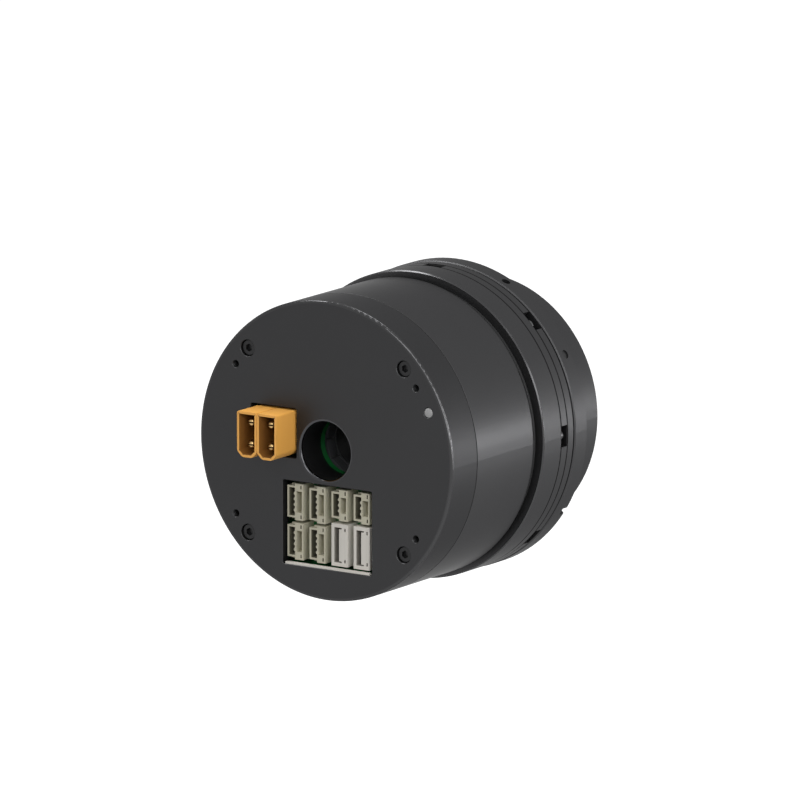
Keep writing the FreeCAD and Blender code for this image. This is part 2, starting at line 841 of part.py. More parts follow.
def make_motor_housing():
    body = new_body("motor_housing")
    rear_inner = rear_radius - shell_wall
    step_y = plate_y + plate_thickness
    hub = bearing_radius + 1.9
    revolve(body, "housing_shell", [
        (rear_inner, seam_y), (rear_radius - seam_bevel, seam_y), (rear_radius, seam_y + seam_bevel),
        (rear_radius, shoulder_y), (neck_radius, shoulder_y), (neck_radius, gear_y),
        (bearing_radius, gear_y), (bearing_radius, front_bearing_y),
        (bearing_radius - 0.9, front_bearing_y), (bearing_radius - 0.9, front_bearing_y - 0.8),
        (hub, front_bearing_y - 0.8), (hub, 30.2), (housing_inner, 30.2), (housing_inner, step_y),
        (rear_inner, step_y)])
    round_edges(body, "shoulder_edge", circle_edge(rear_radius, shoulder_y), shoulder_round)
    pad(body, "screw_lugs", circles_at(screw_places(), 2.0), step_y, lug_end_y)
    threads = circles_at(screw_places(), screw_shank_radius)
    pocket(body, "lug_threads", threads, step_y, lug_end_y)
    place = gear_screw_place()
    thread = pocket(body, "gear_thread", circles_at(place, gear_screw_radius), 31.0, gear_y)
    ring_of(body, thread, 8)


def make_rear_bearing_plate():
    """End plate that carries the rear motor bearing inside the rotor cup."""
    body = new_body("rear_bearing_plate")
    end = plate_y + plate_thickness
    hub = bearing_radius + 1.7
    revolve(body, "end_plate", [
        (bearing_radius - 0.7, plate_y), (rear_radius - shell_wall, plate_y),
        (rear_radius - shell_wall, end), (hub, end), (hub, rear_bearing_y + bearing_width),
        (bearing_radius, rear_bearing_y + bearing_width), (bearing_radius, rear_bearing_y),
        (bearing_radius - 0.7, rear_bearing_y)])
    pocket(body, "plate_screw_holes", circles_at(screw_places(), screw_shank_radius + 0.1), plate_y, end)
    lead = pocket(body, "lead_hole", circles_at([(0, 25.5)], 1.8), plate_y, end)
    ring_of(body, lead, 3)


def make_stator_core():
    """Laminated core: a yoke with T-shaped teeth pointing inwards."""
    body = new_body("stator_core")
    end = stator_y + stator_length
    revolve(body, "yoke", rectangle(27.2, stator_y, housing_inner, end))
    half = tooth_width / 2
    outline = [(-3.1, stator_bore), (3.1, stator_bore), (3.1, 20.8), (half, 21.6), (half, 27.5),
               (-half, 27.5), (-half, 21.6), (-3.1, 20.8)]
    tooth = pad(body, "tooth", outline_of(outline), stator_y, end)
    ring_of(body, tooth, slot_count)


def make_stator_windings():
    """One copper coil round each tooth."""
    body = new_body("stator_windings")
    half = tooth_width / 2
    end = stator_y + stator_length
    build = 1.6
    sketch = sketch_on(body, "coil_outline", "XY_Plane", as_size(21.75))
    add_rounded(sketch, rectangle(-half - build, stator_y - build, half + build, end + build), coil_round)
    add_polygon(sketch, rectangle(-half, stator_y, half, end))
    coil = body.newObject("PartDesign::Pad", "coil")
    coil.Profile = sketch
    coil.Length = 5.2
    checked(coil, 0.0, True)
    ring_of(body, coil, slot_count)


def make_motor_shaft():
    """Hollow rotor shaft with the web that carries the back iron."""
    body = new_body("motor_shaft")
    iron_bore = magnet_radius - magnet_thickness - iron_thickness
    revolve(body, "shaft", [
        (shaft_bore, 10.7), (shaft_radius, 10.7), (shaft_radius, 20.2), (iron_bore, 20.2),
        (iron_bore, 23.2), (shaft_radius, 23.2), (shaft_radius, 34.7), (11.2, 34.7), (11.2, 35.6),
        (shaft_radius, 35.6), (shaft_radius, 42.6), (shaft_bore, 42.6)])
    round_edges(body, "shaft_end_bevel", circle_edge(shaft_radius, 42.6), 0.25, "Chamfer")
    hole = pocket(body, "web_hole", circles_at([(0, 13.1)], 1.7), 20.2, 23.2)
    ring_of(body, hole, 6)


def make_back_iron():
    outer = magnet_radius - magnet_thickness
    tube("rotor_back_iron", outer - iron_thickness, outer, 13.6, 26.4)


def make_rotor_magnets():
    body = new_body("rotor_magnets")
    inner = magnet_radius - magnet_thickness
    magnet = revolve(body, "magnet", rectangle(inner, 14.0, magnet_radius, 26.0), 15.5)
    ring_of(body, magnet, magnet_count)


def make_motor_bearing(label, y):
    """Inner and outer ring of a thin ball bearing, with a groove for the balls."""
    pitch = (shaft_radius + bearing_radius) / 2
    middle = y + bearing_width / 2
    wall = 1.25
    inner = tube(label + "_inner_ring", shaft_radius, shaft_radius + wall, y, y + bearing_width)
    outer = tube(label + "_outer_ring", bearing_radius - wall, bearing_radius, y, y + bearing_width)
    for body, side in ((inner, -1.0), (outer, 1.0)):
        edge = pitch + side * 0.4
        floor = pitch + side * (bearing_ball / 2 + 0.14)
        half = 0.86
        revolve(body, "ball_groove", [
            (edge, middle - half), (floor - side * 0.2, middle - half * 0.55), (floor, middle),
            (floor - side * 0.2, middle + half * 0.55), (edge, middle + half)], cut=True)


def make_ball_set(label, y):
    """The balls of one motor bearing."""
    pitch = (shaft_radius.value + bearing_radius.value) / 2
    middle = y.value + bearing_width.value / 2
    balls = []
    count = int(ball_count.value)
    for i in range(count):
        angle = 2 * math.pi * i / count
        centre = FreeCAD.Vector(pitch * math.cos(angle), middle, pitch * math.sin(angle))
        balls.append(Part.makeSphere(bearing_ball.value / 2, centre))
    shape_node(label, Part.Compound(balls))


def make_oil_seal():
    body = new_body("shaft_oil_seal")
    revolve(body, "seal_ring", [
        (shaft_radius + 0.05, 33.0), (shaft_radius + 0.5, 32.5), (shaft_radius + 1.0, 33.4),
        (bearing_radius - 0.7, 33.4), (bearing_radius - 0.7, 32.0), (bearing_radius, 32.0),
        (bearing_radius, 34.2), (shaft_radius + 0.6, 34.2)])


def make_neck_seal():
    body = new_body("neck_seal")
    top = neck_radius + 0.9
    revolve(body, "seal_band", [
        (neck_radius, shoulder_y), (top - 0.25, shoulder_y), (top, shoulder_y + 0.25),
        (top, gear_y - 0.25), (top - 0.25, gear_y), (neck_radius, gear_y)])


# ---------------------------------------------------------------- strain-wave gear

def polygon_face(points):
    return Part.Face(Part.makePolygon(points + [points[0]]))


def gear_prism(teeth, root, tip, y_from, y_to):
    """A solid cog about Y with straight-sided teeth between its root and tip circles."""
    pitch_angle = 2 * math.pi / teeth
    points = []
    for i in range(teeth):
        for radius, share in ((root, -0.27), (tip, -0.13), (tip, 0.13), (root, 0.27)):
            angle = (i + share) * pitch_angle
            points.append(FreeCAD.Vector(radius * math.cos(angle), y_from, radius * math.sin(angle)))
    return polygon_face(points).extrude(FreeCAD.Vector(0, y_to - y_from, 0))


def turned(corners):
    """A solid of revolution about Y from plain (radius, y) numbers."""
    points = [FreeCAD.Vector(radius, y, 0) for radius, y in corners]
    return polygon_face(points).revolve(FreeCAD.Vector(0, 0, 0), FreeCAD.Vector(0, 1, 0), 360.0)


def rounded_rims(shape, rims, amount):
    """Round the circular edges of a turned solid that pass through these (radius, y) corners."""
    picked = []
    for radius, y in rims:
        picked += [edge for edge in shape.Edges if circle_edge(radius, y)(edge)]
    return shape.makeFillet(amount, picked)


def rods(circle, count, radius, y_from, y_to, turn=0.0):
    """A ring of cylinders along Y, the first one turned from +X towards +Z."""
    solids = []
    for i in range(count):
        angle = math.radians(turn + 360.0 * i / count)
        foot = FreeCAD.Vector(circle * math.cos(angle), y_from, circle * math.sin(angle))
        solids.append(Part.makeCylinder(radius, y_to - y_from, foot, FreeCAD.Vector(0, 1, 0)))
    return Part.Compound(solids)


def make_circular_spline():
    """The fixed internal gear; its rim is also the widest ring of the body."""
    start = sheet.gear_y
    end = start + sheet.gear_width
    tip = sheet.gear_module * sheet.ring_teeth / 2 - tooth_relief
    root = tip + tooth_height
    rim = sheet.gear_radius
    edge = 0.25
    blank = turned([
        (tip - 0.5, start), (rim - edge, start), (rim, start + edge), (rim, end - seam_width),
        (rim - seam_depth, end), (tip - 0.5, end)])
    gap_cutter = gear_prism(int(sheet.ring_teeth), tip, root, start - 1.0, end + 1.0)
    shape = blank.cut(gap_cutter)
    shape = shape.cut(rods(sheet.gear_screw_circle, 8, gear_screw_radius + 0.1, start, end, 22.5))
    shape = shape.cut(rods(sheet.pin_circle, 4, sheet.pin_radius, end - pin_depth, end))
    shape_node("circular_spline", shape)


def make_flexspline():
    """The thin toothed cup: teeth at the open end, a diaphragm and a bolted boss at the other."""
    start = sheet.gear_y + 0.6
    end = sheet.cup_end_y
    bore = sheet.cup_bore
    wall = bore + sheet.cup_wall
    tip = sheet.gear_module * sheet.cup_teeth / 2 + tooth_relief
    root = tip - tooth_height
    boss = cup_boss_radius
    cup = turned([
        (bore, start), (root - 0.1, start), (root - 0.1, tooth_end_y + 0.2), (wall, tooth_end_y + 0.7),
        (wall, end - 0.3), (boss, end - 0.3), (boss, end), (cup_boss_bore, end),
        (cup_boss_bore, end - 2.2), (boss, end - 2.2), (boss, end - 0.7), (bore, end - 0.7)])
    cup = rounded_rims(cup, [(wall, end - 0.3)], cup_round + sheet.cup_wall)
    cup = rounded_rims(cup, [(bore, end - 0.7), (boss, end - 0.7)], cup_round)
    band = gear_prism(int(sheet.cup_teeth), root, tip, start + 0.4, tooth_end_y)
    axis = FreeCAD.Vector(0, 1, 0)
    foot = FreeCAD.Vector(0, start, 0)
    band = band.cut(Part.makeCylinder(bore + 0.15, end - start, foot, axis))
    shape = cup.fuse(band)
    shape = shape.cut(rods(cup_screw_circle, 8, cup_screw_radius + 0.1, end - 2.2, end))
    shape_node("flexspline", shape)


def elliptic_solid(label, radius, y_from, y_to):
    """A prism along Y whose outline is the wave ellipse about the given mean radius."""
    outline = doc.addObject("Part::Ellipse", label + "_outline")
    major = as_size(radius) + wave_rise
    minor = as_size(radius) - wave_rise
    link(outline, "MajorRadius", major)
    link(outline, "MinorRadius", minor)
    outline.Placement = FreeCAD.Placement(
        FreeCAD.Vector(0, y_from, 0), FreeCAD.Rotation(FreeCAD.Vector(1, 0, 0), 90))
    prism = doc.addObject("Part::Extrusion", label)
    prism.Base = outline
    prism.DirMode = "Custom"
    prism.Dir = FreeCAD.Vector(0, 1, 0)
    prism.LengthFwd = y_to - y_from
    prism.Solid = True
    return prism


def round_bore(label, radius, y_from, y_to):
    rod = doc.addObject("Part::Cylinder", label)
    link(rod, "Radius", radius)
    rod.Height = y_to - y_from
    rod.Placement = FreeCAD.Placement(
        FreeCAD.Vector(0, y_from, 0), FreeCAD.Rotation(FreeCAD.Vector(1, 0, 0), -90))
    return rod


def cut_node(label, base, tool):
    cut = doc.addObject("Part::Cut", label)
    cut.Label = label
    cut.Base = base
    cut.Tool = tool
    nodes.append(cut)
    return cut


def make_wave_generator():
    """Elliptical cam and the two thin races that follow its outline."""
    cam = elliptic_solid("cam_outline_solid", cam_radius, cam_y, cam_end_y)
    cut_node("wave_generator_cam", cam, round_bore("cam_bore", shaft_radius, cam_y, cam_end_y))
    inner = elliptic_solid("inner_race_solid", wave_ball_circle - 1.05, race_y, race_end_y)
    inner_bore = elliptic_solid("inner_race_bore", cam_radius, race_y, race_end_y)
    cut_node("wave_bearing_inner_race", inner, inner_bore)
    outer = elliptic_solid("outer_race_solid", wave_race_radius, race_y, race_end_y)
    outer_bore = elliptic_solid("outer_race_bore", wave_ball_circle + 1.05, race_y, race_end_y)
    cut_node("wave_bearing_outer_race", outer, outer_bore)
    balls = []
    for i in range(wave_ball_count):
        angle = 2 * math.pi * i / wave_ball_count
        x = (wave_ball_circle + sheet.wave_rise) * math.cos(angle)
        z = (wave_ball_circle - sheet.wave_rise) * math.sin(angle)
        middle = (race_y + race_end_y) / 2
        balls.append(Part.makeSphere(sheet.wave_ball / 2, FreeCAD.Vector(x, middle, z)))
    shape_node("wave_bearing_balls", Part.Compound(balls))


def make_shaft_nut():
    """Slotted ring nut that holds the cam against the shaft shoulder."""
    body = tube("shaft_lock_nut", shaft_radius, 12.0, cam_end_y, 42.6)
    slot = pocket(body, "spanner_slot", outline_of(rectangle(-1.0, 11.2, 1.0, 12.5)), cam_end_y, 42.6)
    ring_of(body, slot, 4)


# ---------------------------------------------------------------- crossed-roller bearing

def race_apex(side):
    """Radius of the bottom of the V race, outside (+1) or inside (-1) the rollers."""
    return roller_circle + (roller_diameter / 2 * math.sqrt(2) + 0.06) * side


def notch_outline(turn):
    """The block cut out of a ring's rim at a quarter turn position."""
    half = notch_width.value / 2
    outer = gear_radius.value + 1.0
    inner = gear_radius.value - notch_depth.value
    spin = math.radians(turn)
    corners = []
    for along, across in ((inner, -half), (outer, -half), (outer, half), (inner, half)):
        x = along * math.cos(spin) - across * math.sin(spin)
        z = along * math.sin(spin) + across * math.cos(spin)
        corners.append((x, z))
    return corners


def gear_screw_place():
    angle = math.radians(22.5)
    return [(gear_screw_circle * math.cos(angle), gear_screw_circle * math.sin(angle))]


def index_pin_place(turn):
    angle = math.radians(turn)
    return [(pin_circle * math.cos(angle), pin_circle * math.sin(angle))]


def make_rear_outer_ring():
    """Rear half of the split outer race, with pin notches in its rim."""
    body = new_body("bearing_outer_ring_rear")
    apex = race_apex(1.0)
    lip = roller_circle + race_gap
    floor = gear_radius - seam_depth
    revolve(body, "rear_half", [
        (lip, rear_ring_y), (floor, rear_ring_y), (gear_radius, rear_ring_y + seam_width),
        (gear_radius, split_y - seam_width), (floor, split_y), (apex, split_y),
        (lip, split_y - (apex - lip))])
    notch = pocket(body, "notch", outline_of(notch_outline(0.0)), rear_ring_y, split_y)
    ring_of(body, notch, 4)
    hole = pocket(body, "screw_hole", circles_at(gear_screw_place(), 0.9), rear_ring_y, split_y)
    ring_of(body, hole, 8)
    seat = pocket(body, "pin_seat", circles_at(index_pin_place(45.0), pin_radius), rear_ring_y, split_y)
    ring_of(body, seat, 4)


def make_front_outer_ring():
    """Front half of the split outer race, counterbored for the gear screws."""
    body = new_body("bearing_outer_ring_front")
    apex = race_apex(1.0)
    lip = roller_circle + race_gap
    floor = gear_radius - seam_depth
    revolve(body, "front_half", [
        (apex, split_y), (floor, split_y), (gear_radius, split_y + seam_width),
        (gear_radius, ring_end_y - seam_width), (floor, ring_end_y), (lip, ring_end_y),
        (lip, split_y + (apex - lip))])
    notch = pocket(body, "notch", outline_of(notch_outline(45.0)), split_y, ring_end_y)
    ring_of(body, notch, 4)
    hole = pocket(body, "screw_hole", circles_at(gear_screw_place(), 0.9), split_y, ring_end_y)
    ring_of(body, hole, 8)
    bore = pocket(body, "head_bore", circles_at(gear_screw_place(), 1.8), head_y, ring_end_y)
    ring_of(body, bore, 8)


def make_gear_screws():
    """Long screws that clamp both ring halves and the spline to the housing."""
    body = new_body("gear_screws")
    shank = pad(body, "shank", circles_at(gear_screw_place(), gear_screw_radius), 31.2, head_y)
    ring_of(body, shank, 8)
    head_end = head_y + 1.1
    head = pad(body, "head", circles_at(gear_screw_place(), 1.6), head_y, head_end)
    ring_of(body, head, 8)
    socket = add_sockets(body, "socket", gear_screw_place(), 0.75, head_end - 0.6, head_end)
    ring_of(body, socket, 8)


def make_index_pins():
    """Pins that key each ring to the one behind it, seen inside the rim notches."""
    body = new_body("index_pins")
    rear = pad(body, "rear_pin", circles_at(index_pin_place(0.0), pin_radius),
               rear_ring_y - pin_depth, rear_ring_y + 1.7)
    ring_of(body, rear, 4)
    front = pad(body, "front_pin", circles_at(index_pin_place(45.0), pin_radius),
                rear_ring_y, split_y + 1.6)
    ring_of(body, front, 4)


def make_lip_seal():
    tube("bearing_lip_seal", roller_circle - 0.18, roller_circle + race_gap, ring_end_y - 0.35, ring_end_y)


def make_inner_ring():
    """Inner race, bolted to the output flange from behind."""
    body = new_body("bearing_inner_ring")
    apex = race_apex(-1.0)
    lip = roller_circle - race_gap
    start = rear_ring_y + 0.5
    revolve(body, "inner_race", [
        (inner_ring_bore, start), (lip, start), (lip, split_y - (lip - apex)), (apex, split_y),
        (lip, split_y + (lip - apex)), (lip, flange_y), (inner_ring_bore, flange_y)])
    hole = pocket(body, "screw_hole", circles_at([(0, inner_screw_circle)], 0.9), start, flange_y)
    ring_of(body, hole, 8)
    bore = pocket(body, "head_bore", circles_at([(0, inner_screw_circle)], 1.5), start, inner_head_y)
    ring_of(body, bore, 8)


def make_inner_ring_screws():
    body = new_body("inner_ring_screws")
    place = [(0, inner_screw_circle)]
    start = inner_head_y - 1.1
    head = pad(body, "head", circles_at(place, 1.4), start, inner_head_y)
    ring_of(body, head, 8)
    shank = pad(body, "shank", circles_at(place, 0.8), inner_head_y, 50.4)
    ring_of(body, shank, 8)
    socket = add_sockets(body, "socket", place, 0.75, start, start + 0.6)
    ring_of(body, socket, 8)


def make_cross_rollers():
    """Rollers in one V race, each leaning the other way from its neighbours."""
    count = int(sheet.roller_count)
    length = 2.4
    rollers = []
    for i in range(count):
        angle = 2 * math.pi * i / count
        lean = 1.0 if i % 2 else -1.0
        outward = FreeCAD.Vector(math.cos(angle), 0, math.sin(angle))
        along = (outward + FreeCAD.Vector(0, lean, 0)).normalize()
        middle = outward * sheet.roller_circle + FreeCAD.Vector(0, sheet.split_y, 0)
        radius = sheet.roller_diameter / 2
        rollers.append(Part.makeCylinder(radius, length, middle - along * (length / 2), along))
    shape_node("cross_rollers", Part.Compound(rollers))


# ---------------------------------------------------------------- output side

def radial_sketch(body, name, turn, distance):
    """A sketch that faces outwards at one place round the rim; its own y runs along Y."""
    sketch = body.newObject("Sketcher::SketchObject", name)
    sketch.AttachmentSupport = [(origin_item(body, "XY_Plane"), "")]
    sketch.MapMode = "FlatFace"
    spin = math.radians(turn)
    base = FreeCAD.Vector(distance * math.cos(spin), 0, distance * math.sin(spin))
    sketch.AttachmentOffset = FreeCAD.Placement(base, FreeCAD.Rotation(FreeCAD.Vector(0, 1, 0), 90.0 - turn))
    return sketch


def make_output_flange():
    """Flange and hollow spigot in one piece: the face that the next link bolts to."""
    body = new_body("output_flange")
    inner = spigot_radius - spigot_wall
    lip = tube_bore + tube_wall
    edge = 0.3
    revolve(body, "flange", [
        (inner_ring_bore, flange_y), (flange_radius - edge, flange_y), (flange_radius, flange_y + edge),
        (flange_radius, flange_end_y - edge), (flange_radius - edge, flange_end_y),
        (spigot_radius, flange_end_y), (spigot_radius, spigot_end_y - 0.5),
        (spigot_radius - 0.5, spigot_end_y), (8.7, spigot_end_y), (8.7, 63.1), (lip, 63.1),
        (lip, cup_end_y), (cup_boss_radius, cup_end_y), (cup_boss_radius, output_plate_y),
        (inner, output_plate_y), (inner, flange_end_y), (inner_ring_bore, flange_end_y)])
    revolve(body, "o_ring_groove", rectangle(lip - 0.1, 61.1, lip + 0.9, 62.3), cut=True)
    bolt = pocket_from_front(body, "bolt_thread", [(0, output_bolt_circle)], output_bolt_radius, 4.4)
    ring_of(body, bolt, output_bolt_count)
    place = [(0, inner_screw_circle)]
    inner_thread = pocket(body, "inner_thread", circles_at(place, 0.8), flange_y, 50.6)
    ring_of(body, inner_thread, 8)
    cup_thread = pocket(body, "cup_thread", circles_at([(cup_screw_circle, 0)], cup_screw_radius),
                        cup_end_y, 61.4)
    ring_of(body, cup_thread, 8)
    for turn in rim_screw_turns:
        name = "rim_hole_" + str(int(turn))
        before = volume_of(body)
        sketch = radial_sketch(body, name + "_outline", turn, flange_radius.value)
        add_circle(sketch, 0, rim_hole_y, rim_screw_radius)
        hole = body.newObject("PartDesign::Pocket", name)
        hole.Profile = sketch
        hole.Length = rim_hole_depth
        checked(hole, before, False)
    before = volume_of(body)
    sketch = radial_sketch(body, "rim_notch_outline", notch_turn, flange_radius.value)
    add_polygon(sketch, rectangle(-notch_half, flange_end_y - 2.0, notch_half, flange_end_y + 0.5))
    notch = body.newObject("PartDesign::Pocket", "rim_notch")
    notch.Profile = sketch
    notch.Length = rim_notch_depth
    checked(notch, before, False)


def pocket_from_front(body, name, places, radius, depth):
    """A blind round hole from the output face towards the rear."""
    before = volume_of(body)
    sketch = sketch_on(body, name + "_outline", "XZ_Plane", -spigot_end_y)
    circles_at(places, radius)(sketch)
    feature = body.newObject("PartDesign::Pocket", name)
    feature.Profile = sketch
    feature.Length = depth
    feature.Reversed = True
    return checked(feature, before, False)


def make_flange_set_screws():
    body = new_body("flange_set_screws")
    for turn, sink in zip(rim_screw_turns, (1.6, 0.3)):
        name = "set_screw_" + str(int(turn))
        before = volume_of(body)
        sketch = radial_sketch(body, name + "_outline", turn, flange_radius.value - rim_hole_depth)
        add_circle(sketch, 0, rim_hole_y, rim_screw_radius)
        screw = body.newObject("PartDesign::Pad", name)
        screw.Profile = sketch
        screw.Length = rim_hole_depth - sink
        checked(screw, before, True)


def make_cup_clamp_ring():
    body = tube("flexspline_clamp_ring", 7.8, 13.3, cup_end_y - 3.4, cup_end_y - 2.2)
    hole = pocket(body, "clamp_hole", circles_at([(cup_screw_circle, 0)], cup_screw_radius + 0.1),
                  cup_end_y - 3.4, cup_end_y - 2.2)
    ring_of(body, hole, 8)


def make_cup_screws():
    body = new_body("flexspline_screws")
    seat = cup_end_y - 3.4
    place = [(cup_screw_circle, 0)]
    head = pad(body, "head", circles_at(place, 2.1), seat - 1.8, seat)
    ring_of(body, head, 8)
    shank = pad(body, "shank", circles_at(place, cup_screw_radius), seat, 61.0)
    ring_of(body, shank, 8)
    socket = add_sockets(body, "socket", place, 1.15, seat - 1.8, seat - 0.8)
    ring_of(body, socket, 8)


def make_center_tube():
    """Cable tube, clamped at the output end and open from face to face."""
    body = new_body("center_tube")
    outer = tube_bore + tube_wall
    revolve(body, "tube_wall_ring", [
        (tube_bore, tube_start_y), (outer, tube_start_y), (outer, 63.1), (8.6, 63.1), (8.6, 64.1),
        (tube_bore + 0.4, 64.1), (tube_bore, 63.7)])


def make_output_encoder_magnet():
    """Magnet ring of ten flat segments behind the encoder board."""
    body = new_body("output_encoder_magnet")
    flat = tube_bore + 0.15
    corner = flat * (1 / math.cos(math.pi / magnet_segments))
    start = 10.1

    def ring(sketch):
        add_circle(sketch, 0, 0, tube_bore + 1.2)
        add_polygon(sketch, regular_outline(0.0, 0.0, corner, magnet_segments))
    pad(body, "magnet_ring", ring, start, tube_start_y)
    groove = outline_of(rectangle(corner - 0.2, -0.08, corner + 0.2, 0.08))
    joint = pocket(body, "segment_joint", groove, start, tube_start_y)
    ring_of(body, joint, magnet_segments)


def make_tube_o_ring():
    ring = doc.addObject("Part::Torus", "tube_o_ring")
    ring.Label = "tube_o_ring"
    section = 0.45
    link(ring, "Radius1", tube_bore + tube_wall + section)
    ring.Radius2 = section
    ring.Placement = FreeCAD.Placement(
        FreeCAD.Vector(0, 61.7, 0), FreeCAD.Rotation(FreeCAD.Vector(1, 0, 0), 90))
    nodes.append(ring)


# ---------------------------------------------------------------- build, check and export

make_rear_cover()
make_cover_screws()
make_light_pipe()
make_power_headers()
make_power_pins()
make_signal_headers("signal_headers_4_way", four_way_places, 4)
make_signal_headers("signal_headers_3_way", three_way_places, 3)
make_service_headers()
make_contacts("signal_header_contacts", [(four_way_places, 4), (three_way_places, 3)])
make_service_contacts()
make_connector_sill()
make_driver_board()
make_board_spacers()
make_board_screws()
make_power_transistors()
make_bus_capacitors()
make_microcontroller()
make_encoder_board()
make_encoder_sensors()
make_encoder_screws()
make_rear_bearing_plate()
make_motor_housing()
make_stator_core()
make_stator_windings()
make_motor_shaft()
make_back_iron()
make_rotor_magnets()
tube("input_encoder_magnet", shaft_radius, shaft_radius + 2.4, 10.7, 12.6)
make_motor_bearing("rear_bearing", rear_bearing_y)
make_motor_bearing("front_bearing", front_bearing_y)
make_ball_set("rear_bearing_balls", rear_bearing_y)
make_ball_set("front_bearing_balls", front_bearing_y)
make_oil_seal()
make_neck_seal()
make_circular_spline()
make_flexspline()
make_wave_generator()
make_shaft_nut()
make_rear_outer_ring()
make_front_outer_ring()
make_gear_screws()
make_index_pins()
make_lip_seal()
make_inner_ring()
make_inner_ring_screws()
make_cross_rollers()
make_output_flange()
make_flange_set_screws()
make_cup_clamp_ring()
make_cup_screws()
make_center_tube()
make_output_encoder_magnet()
make_tube_o_ring()
doc.recompute()

failed = [item.Name for item in doc.Objects if "Invalid" in item.State or "Error" in item.State]
for node in nodes:
    if node.Shape.isNull() or not node.Shape.isValid():
        failed.append(node.Label + " has a bad shape")
if failed:
    raise RuntimeError("failed: " + ", ".join(failed))

os.makedirs("parts", exist_ok=True)
for node in nodes:
    node.Shape.exportStep("parts/" + node.Label + ".step")
print(len(nodes), "sub-parts written")
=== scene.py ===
"""Dressing of a hollow-shaft robot joint actuator: finishes, fine detail and a studio for the CAD frame."""

import json
import math

import bmesh
import bpy
from mathutils import Matrix, Vector


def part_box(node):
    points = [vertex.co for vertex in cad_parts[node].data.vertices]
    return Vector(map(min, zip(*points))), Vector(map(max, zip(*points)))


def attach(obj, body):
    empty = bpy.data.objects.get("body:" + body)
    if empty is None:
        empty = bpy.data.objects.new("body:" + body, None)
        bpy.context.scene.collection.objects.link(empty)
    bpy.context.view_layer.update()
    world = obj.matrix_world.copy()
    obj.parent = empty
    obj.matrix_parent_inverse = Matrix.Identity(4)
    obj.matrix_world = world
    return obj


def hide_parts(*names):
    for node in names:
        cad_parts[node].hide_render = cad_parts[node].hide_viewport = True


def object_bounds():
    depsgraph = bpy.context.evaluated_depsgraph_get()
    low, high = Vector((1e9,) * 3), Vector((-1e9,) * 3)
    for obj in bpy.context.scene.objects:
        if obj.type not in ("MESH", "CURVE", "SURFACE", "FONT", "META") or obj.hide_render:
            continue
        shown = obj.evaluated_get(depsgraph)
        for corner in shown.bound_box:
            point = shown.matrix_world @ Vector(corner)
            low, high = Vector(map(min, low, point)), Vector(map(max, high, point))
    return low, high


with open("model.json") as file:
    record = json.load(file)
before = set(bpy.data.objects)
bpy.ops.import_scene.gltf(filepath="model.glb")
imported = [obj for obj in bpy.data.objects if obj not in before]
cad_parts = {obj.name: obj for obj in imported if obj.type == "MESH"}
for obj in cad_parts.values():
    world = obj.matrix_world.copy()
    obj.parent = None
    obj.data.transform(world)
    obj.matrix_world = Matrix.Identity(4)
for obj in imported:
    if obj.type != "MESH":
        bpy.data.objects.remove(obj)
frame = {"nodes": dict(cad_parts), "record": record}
cad_low, cad_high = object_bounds()

MM = 0.001
TURN = 2 * math.pi
SHARP_ANGLE = math.radians(38)
WELD_DISTANCE = 0.002 * MM


# ---------------------------------------------------------------- colours, written as sRGB and used as linear

def linear(red, green, blue):
    """A linear colour from 0-255 sRGB numbers."""
    channels = []
    for level in (red, green, blue):
        share = level / 255
        channels.append(share / 12.92 if share <= 0.04045 else ((share + 0.055) / 1.055) ** 2.4)
    return (*channels, 1.0)


# ---------------------------------------------------------------- shared effects

NOISE_ROUGHNESS = 0.55
MOTTLE_SCALE = 70.0
DRIFT_SCALE = 900.0
GRAIN_BUMP = 0.00005
LATHE_BUMP = 0.00002


def new_group(name, inputs, outputs):
    """An empty shader group with named sockets; returns its tree and its two end nodes."""
    tree = bpy.data.node_groups.new(name, "ShaderNodeTree")
    for label, kind, default in inputs:
        socket = tree.interface.new_socket(label, in_out="INPUT", socket_type=kind)
        if default is not None:
            socket.default_value = default
    for label, kind in outputs:
        tree.interface.new_socket(label, in_out="OUTPUT", socket_type=kind)
    return tree, tree.nodes.new("NodeGroupInput"), tree.nodes.new("NodeGroupOutput")


def math_node(tree, operation, first, second=None, clamp=False):
    """A maths node; each input is a number or a socket."""
    node = tree.nodes.new("ShaderNodeMath")
    node.operation = operation
    node.use_clamp = clamp
    for socket, value in zip(node.inputs, (first, second)):
        if value is None:
            continue
        if isinstance(value, (int, float)):
            socket.default_value = value
        else:
            tree.links.new(value, socket)
    return node.outputs[0]


def remap(tree, value, low, high):
    """value, which runs from 0 to 1, stretched to run from low to high."""
    node = tree.nodes.new("ShaderNodeMapRange")
    tree.links.new(value, node.inputs["Value"])
    node.inputs["To Min"].default_value = low
    node.inputs["To Max"].default_value = high
    return node.outputs["Result"]


def noise_node(tree, vector, scale, detail):
    """Soft noise from 0 to 1; its scale is a number or a socket."""
    node = tree.nodes.new("ShaderNodeTexNoise")
    tree.links.new(vector, node.inputs["Vector"])
    node.inputs["Detail"].default_value = detail
    node.inputs["Roughness"].default_value = NOISE_ROUGHNESS
    if isinstance(scale, (int, float)):
        node.inputs["Scale"].default_value = scale
    else:
        tree.links.new(scale, node.inputs["Scale"])
    return node.outputs["Fac"]


def mix_colours(tree, share, first, colour):
    """The first socket's colour, mixed by a share towards a plain colour."""
    node = tree.nodes.new("ShaderNodeMix")
    node.data_type = "RGBA"
    factor, colour_a, colour_b = node.inputs[0], node.inputs[6], node.inputs[7]
    tree.links.new(share, factor)
    tree.links.new(first, colour_a)
    colour_b.default_value = colour
    return node.outputs[2]


